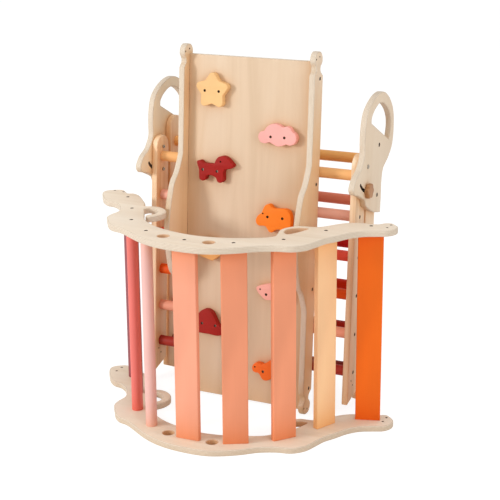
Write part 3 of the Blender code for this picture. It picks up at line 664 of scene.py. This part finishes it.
def flowing_line(points, closed):
    """A smooth line through the points, with more steps where it turns more."""
    knots = [Vector(point) for point in points]
    count = len(knots)
    slopes = []
    for index, here in enumerate(knots):
        before = knots[index - 1] if closed or index else here * 2 - knots[1]
        after = knots[(index + 1) % count] if closed or index < count - 1 else here * 2 - knots[index - 1]
        slopes.append(slope(before, here, after))
    line = []
    for index in range(count if closed else count - 1):
        start, end = knots[index], knots[(index + 1) % count]
        leave, arrive = slopes[index], slopes[(index + 1) % count]
        chord = end - start
        turn = abs(leave.angle_signed(chord)) + abs(chord.angle_signed(arrive))
        steps = max(1, math.ceil(turn / FINE_TURN))
        for step in range(steps):
            t = step / steps
            pull = leave * (t * (1 - t) ** 2) + arrive * (t * t * (t - 1))
            line.append(start + chord * (t * t * (3 - 2 * t)) + pull * chord.length)
    return line if closed else line + [knots[-1]]


def scaled(points, width, height, whole=1000):
    """Points given as parts of a whole width and height."""
    return [(x / whole * width, y / whole * height) for x, y in points]


def slot_outline():
    """The curved slot about the pivot, with a round end just past either end of the bolt's way."""
    start = SLOT_SLACK - math.pi / 2
    end = -math.pi / 2 - OPENING - SLOT_SLACK
    half = SLOT_WIDTH / 2
    near, far = (around((0, 0), LOCK_DISTANCE, turn) for turn in (start, end))
    outer = arc((0, 0), LOCK_DISTANCE + half, start, end)
    inner = arc((0, 0), LOCK_DISTANCE - half, end, start)
    return (outer + arc(far, half, end, end - math.pi)[1:-1] + inner
            + arc(near, half, start + math.pi, start)[1:-1])


def ply_edge(name, guide, painted_shade, tones=LAYER_TONES):
    """Sawn plywood edge: pale layers with darker end grain and thin glue lines between them, with painted
    shade near other wood.
    """
    material, tree, shader = new_finish(name)
    glue, end_grain, long_grain = (colour(*tone) for tone in tones)
    own = along_grain(tree, guide, PLY_LAYERS / HEAD_THICK, 1)
    through = result(tree, "ShaderNodeSeparateXYZ", {0: own})
    shifted = reckoned(tree, "ADD", through, PLY_LAYERS / 2 + LAYERS_AHEAD)
    share = reckoned(tree, "MULTIPLY", reckoned(tree, "MODULO", shifted, 2), 0.5)
    across, along, detail, dark = EDGE_MARKS
    fibres = noise(tree, along_grain(tree, guide, across, along), detail)
    tone = colour_run(tree, share, (
        (0, glue), (GLUE_SHARE, long_grain), (0.5 - GLUE_SHARE, long_grain), (0.5, glue),
        (0.5 + GLUE_SHARE, end_grain), (1 - GLUE_SHARE, end_grain), (1, glue)))
    tone = mixed(tree, spread(tree, fibres, 0, dark), tone, glue)
    tone = with_painted_shade(tree, tone, painted_shade)
    dress(tree, shader, tone, (fibres, *EDGE_ROUGHNESS), (*EDGE_RELIEF, share), SEALED_SHINE)
    return material


head_inner = TRIANGLE_WIDTH / 2 + HEAD_GAP
head_outer = head_inner + HEAD_THICK
head_screw_places = ((frame_pitch, BACK_TOP), (frame_pitch, -HEAD_LOW_SCREW))
head_outlines = [flowing_line(scaled(HEAD_OUTLINE, HEAD_DEPTH, HEAD_HEIGHT), False)[:-1],
                 flowing_line(scaled(HEAD_LOOP, HEAD_DEPTH, HEAD_HEIGHT), False)]
head_bores = [slot_outline(), circle((0, 0), HEAD_BORE)]
head_bores += [circle(place, HEAD_BORE) for place in head_screw_places]
for side, way in SIDES:
    middle = Matrix.Translation((way * (head_inner + HEAD_THICK / 2), 0, 0))
    plate_guide = triangle @ middle
    # Edge and veneer get painted shade: darker and warmer near other wood.
    edge = ply_edge("head_edge_" + side, plate_guide, 1)
    veneer = wood("head_veneer_" + side, plate_guide, HEAD_TONES[side], VENEER_GRAIN, 1)
    plate = sawn_board("head_plate_" + side + "_birch", head_outlines, head_bores, HEAD_THICK, HEAD_ROUNDING,
                       plate_guide @ ON_EDGE, (veneer, edge, drilled, edge))
    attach(plate, "back_frame")
    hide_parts("head_plate_" + side)
nickel = plated_steel("nickel_steel", NICKEL_TONES)
head_screws = drive_screws("screws_head_plates", "back_frame",
                           both_outer_faces(triangle, head_outer, head_screw_places), SCREW_SUNK, HEAD_SCREW,
                           nickel)
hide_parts("head_screw_high_left", "head_screw_high_right", "head_screw_low_left",
            "head_screw_low_right")

# Pivot bolts, lock bolts and knobs
# Steel bolts run through stile and head plate. The pivot bolts have domed heads; the lock
# bolts take round beech knobs that clamp the plates at the angle the triangle is set to.
BOLT_RADIUS = 0.004
BOLT_HEAD_RADIUS = 0.0066
BOLT_HEAD_THICK = 0.0032
BOLT_NUT_THICK = 0.0045
NUT_RADIUS = 0.0052
NUT_BORE = 0.0026
NUT_FLOOR_SHARE = 0.7          # how deep the nut is bored
NUT_BEVEL_SHARES = (0.85, 0.2)         # of its radius at the end, and of its length
DOME_TURNS = (0, 12, 25, 38, 50)
DOME_HOLLOW_SHARES = (0.32, 0.3)       # radius and floor of the hollow in a bolt's head
HEAD_PLAY = 0.0006
KNOB_RADIUS = 0.0235
KNOB_THICK = 0.014
KNOB_EDGE = 0.004
KNOB_WALL = 0.004
KNOB_LOBES = 6
KNOB_HOLLOW = 0.0036
KNOB_ROUNDS = 6                # steps of the knob's rounded rim
BEECH_GRAIN = ((230, 30, 3, 0.8), (0.3, 0.5, 0.7), ((1400, 220, 2, 0.4),), (0.4, 0.55), (0.2, 0.0002))
BEECH_TONES = ((154, 100, 56), (178, 124, 76), (192, 142, 94))


def turned_piece(name, profile, place, finish, lobed_from=1):
    """A shape turned about X. The profile lists (how far out, radius), from one end to the other.

    A radius of 0 is a point. From lobed_from outwards the rim is hollowed for the fingers.
    """
    solid = bmesh.new()
    rings = []
    for out, radius in profile:
        turns = [2 * math.pi * step / ROUND_SIDES for step in range(ROUND_SIDES if radius else 1)]
        ring = []
        for turn in turns:
            hollow = KNOB_HOLLOW * (1 - math.cos(KNOB_LOBES * turn)) / 2 if radius >= lobed_from else 0
            ring.append(solid.verts.new((out, *around((0, 0), radius - hollow, turn))))
        rings.append(ring)
    for low, high in zip(rings, rings[1:]):
        for step in range(ROUND_SIDES):
            corners = [ring[at % len(ring)] for ring, at in (
                (low, step), (high, step), (high, step + 1), (low, step + 1))]
            solid.faces.new(list(dict.fromkeys(corners))).smooth = True
    return solid_piece(name, solid, place, (finish,))


def rounded_corner(out, radius, size, start):
    """Points of a quarter round about (out, radius), from one direction to the next."""
    turns = [start + math.pi / 2 * step / KNOB_ROUNDS for step in range(KNOB_ROUNDS + 1)]
    return [(out + size * math.sin(turn), radius + size * math.cos(turn)) for turn in turns]


nut_out = TRIANGLE_WIDTH / 2 - STILE_THICK - RUNG_FIT
nut_end = nut_out - BOLT_NUT_THICK
seat = head_outer + HEAD_PLAY
nut_floor = nut_end + BOLT_NUT_THICK * NUT_FLOOR_SHARE
narrow, bevel = NUT_BEVEL_SHARES
nut_profile = [(nut_floor, 0), (nut_floor, NUT_BORE), (nut_end, NUT_BORE), (nut_end, NUT_RADIUS * narrow),
               (nut_end + BOLT_NUT_THICK * bevel, NUT_RADIUS), (nut_out, NUT_RADIUS), (nut_out, BOLT_RADIUS)]
dome = [(seat + BOLT_HEAD_THICK * math.sin(turn), BOLT_HEAD_RADIUS * math.cos(turn))
        for turn in map(math.radians, DOME_TURNS)]
hollow, floor_share = DOME_HOLLOW_SHARES
dome += [(dome[-1][0], BOLT_HEAD_RADIUS * hollow),
         (seat + BOLT_HEAD_THICK * floor_share, BOLT_HEAD_RADIUS * floor_share)]
dome += [(dome[-1][0], 0)]
pivot_profile = nut_profile + [(seat, BOLT_RADIUS)] + dome
lock_end = seat + KNOB_THICK - KNOB_WALL - RUNG_FIT
lock_profile = nut_profile + [(lock_end, BOLT_RADIUS), (lock_end, 0)]
knob_out = seat + KNOB_THICK
knob_core = KNOB_RADIUS - KNOB_EDGE
knob_profile = [(knob_out - KNOB_WALL, 0), (knob_out - KNOB_WALL, BOLT_BORE), (seat, BOLT_BORE)]
knob_profile += [(seat, knob_core)] + rounded_corner(seat + KNOB_EDGE, knob_core, KNOB_EDGE, -math.pi / 2)[1:]
knob_profile += rounded_corner(knob_out - KNOB_EDGE, knob_core, KNOB_EDGE, 0)
knob_profile += [(knob_out, 0)]
for side, way in SIDES:
    facing = Matrix.Scale(way, 4, (1, 0, 0))
    lock = triangle @ Matrix.Translation((0, 0, -LOCK_DISTANCE)) @ facing
    bolt = turned_piece("bolt_pivot_" + side, pivot_profile, triangle @ facing, nickel)
    lock_bolt = turned_piece("bolt_lock_" + side, lock_profile, lock, nickel)
    for piece, node in ((bolt, "pivot_bolt_"), (lock_bolt, "lock_bolt_")):
        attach(piece, "front_frame")
        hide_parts(node + side)
    beech = wood("knob_beech_" + side, lock, BEECH_TONES, BEECH_GRAIN, shine=BARE_SHINE)
    knob = turned_piece("knob_" + side, knob_profile, lock, beech, knob_core)
    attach(knob, "lock_knob_" + side)
    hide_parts("lock_knob_" + side)

# Ramp board
# One flat sheet of birch plywood between the rails, sanded smooth and clear-sealed. The holds
# are screwed to its front.
RAMP_FOOT = (0.001, 0.04884, -0.0002)
BOARD_WIDTH = 0.409
BOARD_LENGTH = 1.062
BOARD_FOOT = 0.008
BOARD_THICK = 0.018
BOARD_ROUNDING = 0.0012
# How strongly the board and its edge get painted shade, darker and warmer near other wood.
BOARD_PAINTED_SHADE = 0.8
BOARD_TONES = ((204, 177, 148), (217, 192, 165), (222, 200, 176))

ramp = Matrix.Translation(RAMP_FOOT) @ Matrix.Rotation(-LEAN, 4, "X")
# Outline across X and up Z, with its thickness towards the viewer
FACING = Matrix(((1, 0, 0, 0), (0, 0, -1, 0), (0, 1, 0, 0), (0, 0, 0, 1)))
QUARTER = Matrix.Rotation(math.pi / 2, 4, "Z")
board_half = BOARD_WIDTH / 2
board_outline = [(x * board_half, BOARD_FOOT + y * BOARD_LENGTH)
                 for x, y in ((-1, 0), (1, 0), (1, 1), (-1, 1))]
board_middle = ramp @ Matrix.Translation((0, BOARD_THICK / 2, 0))
board_guide = board_middle @ QUARTER
veneer = wood("board_veneer", board_guide, BOARD_TONES, VENEER_GRAIN, BOARD_PAINTED_SHADE)
board = sawn_board("board", [board_outline], [], BOARD_THICK, BOARD_ROUNDING, board_middle @ FACING,
                   (veneer, ply_edge("board_edge", board_guide, 1)))
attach(board, "ramp")
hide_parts("ramp_board")

# Ramp rails
# Plywood rails glued and screwed to the board's edges swell out in the middle as hand rails.
# Their ends are cut with notches that hook onto a rung, and drilled with small holes.
RAIL_THICK = 0.018
RAIL_FIT = 0.0003
RAIL_LENGTH = 1.100
RAIL_WIDTH = 0.061
RAIL_BACK = 0.028
RAIL_END = 0.071
SWELL_HALF = 0.2225
SWELL_RISE = 0.082
RAIL_ROUNDING = 0.0025
RAIL_SCREW_IN = 0.006
RAIL_SCREW_SHARES = (0.072, 0.355, 0.645, 0.928)
RAIL_EYE = 0.0027
RAIL_TONES = ((226, 203, 178), (239, 220, 197), (243, 227, 207))
# How strongly and how far the rails get painted shade, darker and warmer near other wood.
RAIL_PAINTED_SHADE = 2
RAIL_SHADE_REACH = 0.24
RAIL_EYE_SHARES = ((0.475, 0.218), (0.869, 0.317))
# Thousandths of the rail's width and of the length of its shaped end
RAIL_END_OUTLINE = (
    (0, 1000), (164, 901), (295, 803), (328, 704), (303, 620), (180, 521), (107, 423), (98, 310),
    (172, 141), (328, 28), (541, 0), (754, 28), (910, 141), (984, 310), (975, 423), (902, 521), (811, 620),
    (795, 704), (820, 803), (918, 901), (1000, 1000))
SWELL_SHARES = ((1.0, 0.0), (0.944, 0.049), (0.845, 0.171), (0.724, 0.354), (0.640, 0.573), (0.45, 0.780),
                (0.27, 0.902))


def rail_outline():
    """A rail from its back edge round both shaped ends, with the swell on its front."""
    front = RAIL_WIDTH - RAIL_BACK
    low_end = [(x - RAIL_BACK, y) for x, y in scaled(RAIL_END_OUTLINE, RAIL_WIDTH, RAIL_END)]
    high_end = [(x, RAIL_LENGTH - y) for x, y in reversed(low_end)]
    middle = RAIL_LENGTH / 2
    rising = [(front + rise * SWELL_RISE, middle - away * SWELL_HALF) for away, rise in SWELL_SHARES]
    falling = [(x, RAIL_LENGTH - y) for x, y in reversed(rising)]
    swell = rising + [(front + SWELL_RISE, middle)] + falling
    line = flowing_line(low_end, False) + flowing_line(swell, False) + flowing_line(high_end, False)
    return [(-x, y) for x, y in line]


rail_eyes = []
for across, up in RAIL_EYE_SHARES:
    back = RAIL_BACK - across * RAIL_WIDTH
    rail_eyes += [(back, up * RAIL_END), (back, RAIL_LENGTH - up * RAIL_END)]
rail_screws = [(RAIL_SCREW_IN, share * RAIL_LENGTH) for share in RAIL_SCREW_SHARES]
rail_bores = [circle(place, RAIL_EYE) for place in rail_eyes]
rail_bores += [circle(place, SCREW_BORE) for place in rail_screws]
rail_inner = board_half + RAIL_FIT
for side, way in SIDES:
    rail_guide = ramp @ Matrix.Translation((way * (rail_inner + RAIL_THICK / 2), 0, 0))
    veneer = wood("rail_veneer_" + side, rail_guide, RAIL_TONES, VENEER_GRAIN, RAIL_PAINTED_SHADE, RAIL_SHADE_REACH)
    rail = sawn_board("rail_" + side, [rail_outline()], rail_bores, RAIL_THICK, RAIL_ROUNDING,
                      rail_guide @ ON_EDGE,
                      (veneer, ply_edge("rail_edge_" + side, rail_guide, RAIL_PAINTED_SHADE), drilled))
    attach(rail, "ramp")
    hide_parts("ramp_rail_" + side)
drive_screws("screws_rails", "ramp", both_outer_faces(ramp, rail_inner + RAIL_THICK, rail_screws))

# Climbing holds
# Eight shapes sawn from thick board, rounded over, painted and each fixed with two sunk
# screws. The dog, pig, fish and bear have a small drilled eye.
HOLD_THICK = 0.022
HOLD_ROUNDING = 0.0022
HOLD_BORE = 0.0042
HOLD_SCREW = 0.0040
HOLD_SCREW_SUNK = 0.0045
HOLD_EYE = 0.0026
BRONZE_TONES = ((70, 46, 32), (112, 80, 58))
NICKEL_SCREW_HOLDS = ("dog", "dome", "bear")
STAR_RADIUS = 0.0548
STAR_TIP_SHARE = 0.22
STAR_TIP_TURN = math.radians(62)
STAR_VALLEY_SHARE = 0.70
STAR_VALLEY_ASIDES = (-0.05, 0, 0.05)


def star_outline():
    """Five blunt tips with straight flanks between them."""
    line = []
    for tip in range(5):
        turn = math.pi / 2 + 2 * math.pi * tip / 5
        middle = around((0, 0), 1 - STAR_TIP_SHARE, turn)
        line += arc(middle, STAR_TIP_SHARE, turn - STAR_TIP_TURN, turn + STAR_TIP_TURN)
        for aside in STAR_VALLEY_ASIDES:
            line.append(around((0, 0), STAR_VALLEY_SHARE * (1 + abs(aside) / 3), turn + math.pi / 5 + aside))
    return line


# Name, width, height, place on the board, paint, screws, eyes and outline. Places on the
# board are shares of it. Screws, eyes and outline are hundredths of the hold's width and height,
# and the star's outline is worked out above.
HOLDS = (
    ("star", STAR_RADIUS, STAR_RADIUS, (-0.284, 0.9005), (233, 187, 129), ((-43, 0), (43, 0)), (), ()),
    ("cloud", 0.124, 0.066, (0.254, 0.792), (240, 172, 164), ((-17, -10), (19, -9)), (), (
        (-50, -14), (-45, 8), (-35, 15), (-29, 31), (-18, 46), (-5, 50), (7, 43), (13, 37), (23, 42),
        (33, 36), (39, 21), (47, 10), (50, -10), (44, -34), (33, -42), (23, -39), (13, -47), (1, -50),
        (-10, -43), (-20, -36), (-32, -42), (-44, -36))),
    ("dog", 0.128, 0.083, (-0.244, 0.679), (155, 20, 13), ((-33, -6), (5, -8)), ((14, 29),), (
        (-49, 22), (-41, 27), (-33, 19), (-16, 18), (-3, 20), (1, 33), (8, 45), (19, 50), (32, 43),
        (43, 28), (48, 19), (44, 9), (34, 4), (25, 0), (22, -22), (22, -39), (16, -49), (7, -47), (2, -33),
        (-5, -27), (-19, -26), (-24, -31), (-25, -41), (-33, -48), (-41, -43), (-43, -24), (-44, -5),
        (-48, 10))),
    ("pig", 0.122, 0.091, (0.247, 0.555), (250, 128, 30), ((-17, 4), (23, 4)), ((-30, 14),), (
        (-49, -12), (-46, 0), (-40, 9), (-34, 15), (-30, 28), (-25, 40), (-18, 46), (-11, 44), (-6, 37),
        (2, 34), (17, 35), (31, 35), (40, 28), (45, 14), (46, -5), (45, -30), (42, -43), (35, -47),
        (28, -42), (22, -36), (13, -34.5), (5, -37), (0, -42), (-5, -47), (-11, -46), (-17, -37),
        (-22, -29), (-30, -28), (-39, -29), (-46, -24))),
    ("pebble", 0.089, 0.073, (-0.275, 0.441), (226, 164, 98), ((-26, 0), (26, 0)), (), (
        (-44, -22), (-33, -33), (-16, -38), (0, -43), (10, -45), (19, -39), (29, -29), (42, -17), (50, 5),
        (43, 31), (23, 46), (-3, 50), (-29, 42), (-46, 21), (-50, -5))),
    ("fish", 0.114, 0.052, (0.259, 0.340), (246, 176, 162), ((-20, -15), (20, -15)), ((-38, 12),), (
        (-50, 18), (-46, -4), (-36, -26), (-24, -46), (-9, -47), (11, -31), (25, -16), (38, -42), (49, -40),
        (45, 2), (50, 42), (39, 47), (25, 23), (11, 38), (-10, 48), (-34, 36))),
    ("dome", 0.097, 0.079, (-0.273, 0.225), (158, 28, 19), ((-24, -10), (24, -12)), (), (
        (0, -50), (-40, -50), (-46, -49), (-49, -45), (-50, -38), (-49, -15), (-42, 16), (-28, 41),
        (-10, 49), (6, 43), (17, 27), (25, 9), (33, -7), (42, -14), (49, -21), (50, -34), (48, -45),
        (40, -50))),
    ("bear", 0.121, 0.070, (0.251, 0.106), (243, 109, 36), ((-19, -7), (24, 0)), ((-42, 9),), (
        (-50, -1), (-49, 12), (-45, 22), (-38, 29), (-30, 28), (-22, 24), (-14, 31), (-5, 43), (7, 49),
        (20, 45), (36, 38), (46, 23), (50, -6), (46, -40), (36, -50), (27, -38), (15, -30), (5, -33),
        (-2, -41), (-9, -46), (-18, -45), (-24, -36), (-28, -24), (-33, -17), (-40, -17), (-47, -12))),
)
hold_thickness = HOLD_THICK - RAIL_FIT
toward_viewer = (ramp.to_3x3() @ Vector((0, -1, 0))).normalized()
bronze = plated_steel("bronze_steel", BRONZE_TONES)
for name, width, height, (aside, up), tone, screws, eyes, outline in HOLDS:
    middle = Vector((aside * BOARD_WIDTH, -RAIL_FIT, BOARD_FOOT + up * BOARD_LENGTH))
    place = ramp @ Matrix.Translation(middle)
    body = place @ Matrix.Translation((0, -hold_thickness / 2, 0)) @ FACING
    if name == "star":
        shape = scaled(star_outline(), width, height, 1)
    else:
        shape = flowing_line(scaled(outline, width, height, 100), True)
    screws, eyes = (scaled(points, width, height, 100) for points in (screws, eyes))
    bores = [circle(point, HOLD_BORE) for point in screws]
    bores += [circle(point, HOLD_EYE, EYE_SIDES) for point in eyes]
    paint = brushed_paint("paint_hold_" + name, tone, place @ QUARTER)
    hold = sawn_board("hold_" + name + "_painted", [shape], bores, hold_thickness, HOLD_ROUNDING, body,
                      (paint, paint, drilled))
    heads = [(place @ Vector((x, -hold_thickness, z)), toward_viewer) for x, z in screws]
    drive_screws("screws_hold_" + name, "ramp", heads, HOLD_SCREW_SUNK, HOLD_SCREW,
                 nickel if name in NICKEL_SCREW_HOLDS else bronze)
    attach(hold, "ramp")
    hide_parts("hold_" + name)

# Arch side plates
# Two equal plates of birch plywood, sawn to the same outline: an open hook at the left, a
# hand hole at the right, two holes for pegs, and a screw over each dowel and slat.
ARCH_PLACE = (0.00025, -0.36239, 0)
ARCH_SPAN = 1.0
ARCH_DEPTH = 0.5
ARCH_HEIGHT = 0.618
ARCH_THICK = 0.018
ARCH_ROUNDING = 0.0025
PEG_RADIUS = 0.0165
PEG_HOLES = ((-69.5, 138), (76.5, 132))
# How strongly and how far the arch plates get painted shade, darker and warmer near other wood.
PLATE_PAINTED_SHADE = 0.35
PLATE_SHADE_REACH = 0.3
ARCH_EYE = 0.0038
# Walls of the peg holes and hand hole: a browner, darker ply edge as painted shade inside the holes.
HOLE_SHADE_TONES = ((184, 150, 120), (216, 184, 154), (228, 198, 170))
PLATE_TONES = ((229, 212, 190), (240, 227, 210), (244, 234, 220))
TOP_EYES = ((-472.5, 934), (-438.5, 926), (469.5, 826), (469.5, 888))
BOTTOM_EYES = ((-465.5, 850), (-466.5, 918), (469.5, 826), (469.5, 888))
DOWEL_PLACES = ((-391.5, 824), (-308.5, 596), (-241.5, 366), (-142.5, 196))
SLAT_PLACES = ((2.5, 122), (140.5, 182), (251.5, 359), (322.5, 626), (421.5, 823))
HAND_HOLE = (
    (225.1, 488), (219.5, 556), (234, 598), (255.5, 618), (268.5, 616), (265, 575), (251.5, 502),
    (238.5, 466))
ARCH_OUTLINE = (
    (-498.5, 892), (-490.5, 842), (-473.5, 790), (-446.5, 722), (-421.5, 686), (-397.5, 676), (-372.5, 644),
    (-347.5, 584), (-327.5, 502), (-329.5, 422), (-324.5, 362), (-309.5, 318), (-281.5, 242), (-259.5, 208),
    (-232.5, 194), (-187.5, 142), (-137.5, 78), (-67.5, 20), (12.5, 0), (92.5, 16), (167.5, 100),
    (217.5, 186), (257.5, 226), (302.5, 252), (329.5, 308), (343.5, 392), (354.5, 478), (374.5, 552),
    (394.5, 636), (423.5, 702), (457.5, 738), (484.5, 768), (497.7, 822), (495.5, 864), (480.5, 902),
    (461.5, 926), (446.5, 912), (433.5, 876), (412.5, 864), (390.5, 868), (361.5, 848), (332.5, 800),
    (309.5, 732), (287.5, 678), (264.5, 664), (238.5, 656), (214.5, 612), (201.5, 542), (210.5, 452),
    (215.5, 408), (200.5, 360), (152.5, 302), (82.5, 248), (12.5, 226), (-57.5, 244), (-117.5, 280),
    (-177.5, 350), (-211.5, 416), (-233.5, 488), (-255.5, 564), (-268.5, 616), (-262.5, 642), (-245.5, 640),
    (-225.5, 612), (-214.5, 570), (-214.5, 532), (-226.5, 502), (-224.5, 471), (-213.5, 460), (-199.5, 488),
    (-189.5, 540), (-189.5, 582), (-199.5, 632), (-220.5, 672), (-246.5, 692), (-268.5, 684), (-284.5, 674),
    (-299.5, 724), (-324.5, 786), (-354.5, 856), (-379.5, 900), (-399.5, 914), (-415.5, 904), (-428.5, 924),
    (-445.5, 958), (-461.5, 967), (-480.5, 946), (-494.5, 920))

arch = Matrix.Translation(ARCH_PLACE)
post_places = scaled(DOWEL_PLACES + SLAT_PLACES, ARCH_SPAN, ARCH_DEPTH)
plate_outlines = [flowing_line(scaled(ARCH_OUTLINE, ARCH_SPAN, ARCH_DEPTH), True),
                  flowing_line(scaled(HAND_HOLE, ARCH_SPAN, ARCH_DEPTH), True)]
plate_outlines += [circle(place, PEG_RADIUS) for place in scaled(PEG_HOLES, ARCH_SPAN, ARCH_DEPTH)]
plate_bores = [circle(place, SCREW_BORE) for place in post_places]
arch_screws = []
for side, level, surface, way, eye_places in (
        ("bottom", ARCH_THICK / 2, 0, -1, BOTTOM_EYES),
        ("top", ARCH_HEIGHT - ARCH_THICK / 2, ARCH_HEIGHT, 1, TOP_EYES)):
    place = arch @ Matrix.Translation((0, 0, level))
    eyes = [circle(eye, ARCH_EYE, EYE_SIDES) for eye in scaled(eye_places, ARCH_SPAN, ARCH_DEPTH)]
    grain = place @ SIDEWAYS
    finishes = (
        wood("arch_veneer_" + side, grain, PLATE_TONES, VENEER_GRAIN, PLATE_PAINTED_SHADE, PLATE_SHADE_REACH),
        ply_edge("arch_edge_" + side, grain, PLATE_PAINTED_SHADE), drilled,
        ply_edge("arch_hole_shade_" + side, grain, 1, HOLE_SHADE_TONES))
    plate = sawn_board("arch_plate_" + side + "_birch", plate_outlines, plate_bores + eyes, ARCH_THICK,
                       ARCH_ROUNDING, place, finishes)
    arch_screws += [(arch @ Vector((x, y, surface)), (0, 0, way)) for x, y in post_places]
    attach(plate, "arch")
    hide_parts("arch_plate_" + side)
drive_screws("screws_arch", "arch", arch_screws)

# Arch dowels
# Four turned wooden bars, each painted in its own tone, stand between the plates on the side
# with the hook. A screw through either plate holds them.
DOWEL_RADIUS = 0.017
DOWEL_SHINE = 1.1
# How strongly dowels and slats get painted shade and painted warm reflection near the plates and each other.
POST_PAINTED_SHADE = 1.2
DOWEL_PAINTS = ((136, 38, 48), (158, 32, 28), (232, 100, 88), (233, 181, 173))

post_low = ARCH_THICK + RAIL_FIT
post_high = ARCH_HEIGHT - ARCH_THICK - RAIL_FIT
for number, (place, tone) in enumerate(zip(post_places, DOWEL_PAINTS), 1):
    foot = arch @ Vector((*place, post_low))
    head = arch @ Vector((*place, post_high))
    paint = brushed_paint(f"paint_arch_dowel_{number}", tone, Matrix.Translation(foot), POST_PAINTED_SHADE,
                          DOWEL_SHINE)
    dowel = round_bar(f"dowel_{number}", foot, head, DOWEL_RADIUS, paint)
    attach(dowel, "arch")
    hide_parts(f"arch_dowel_{number}")

# Arch slats
# Five flat wooden slats with softened edges, painted from peach to orange, follow the plates
# round to the right. They are held by a screw at both ends, like the dowels.
SLAT_WIDTH = 0.074
SLAT_THICK = 0.018
SLAT_EDGE = 0.003
SLAT_TURNS = (1.6, 29, 53, 66, 18.4)
SLAT_PAINTS = ((236, 160, 131), (229, 147, 112), (238, 154, 117), (250, 202, 154), (245, 110, 18))
SLAT_END_ROUNDING = 0.0005


def slat_outline():
    """A slat cut across: a rectangle with rounded corners."""
    across, through = SLAT_WIDTH / 2 - SLAT_EDGE, SLAT_THICK / 2 - SLAT_EDGE
    line = []
    for quarter, (x, y) in enumerate(((1, 1), (-1, 1), (-1, -1), (1, -1))):
        start = quarter * math.pi / 2
        line += arc((x * across, y * through), SLAT_EDGE, start, (quarter + 1) * math.pi / 2)
    return line


slat_places = post_places[len(DOWEL_PLACES):]
for number, (place, turn, tone) in enumerate(zip(slat_places, SLAT_TURNS, SLAT_PAINTS), 1):
    middle = (arch @ Matrix.Translation((*place, (post_low + post_high) / 2))
              @ Matrix.Rotation(math.radians(turn), 4, "Z"))
    paint = brushed_paint(f"paint_arch_slat_{number}", tone, middle @ QUARTER, POST_PAINTED_SHADE)
    slat = sawn_board(f"slat_{number}", [slat_outline()], [], post_high - post_low, SLAT_END_ROUNDING, middle,
                      (paint, paint))
    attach(slat, "arch")
    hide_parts(f"arch_slat_{number}")
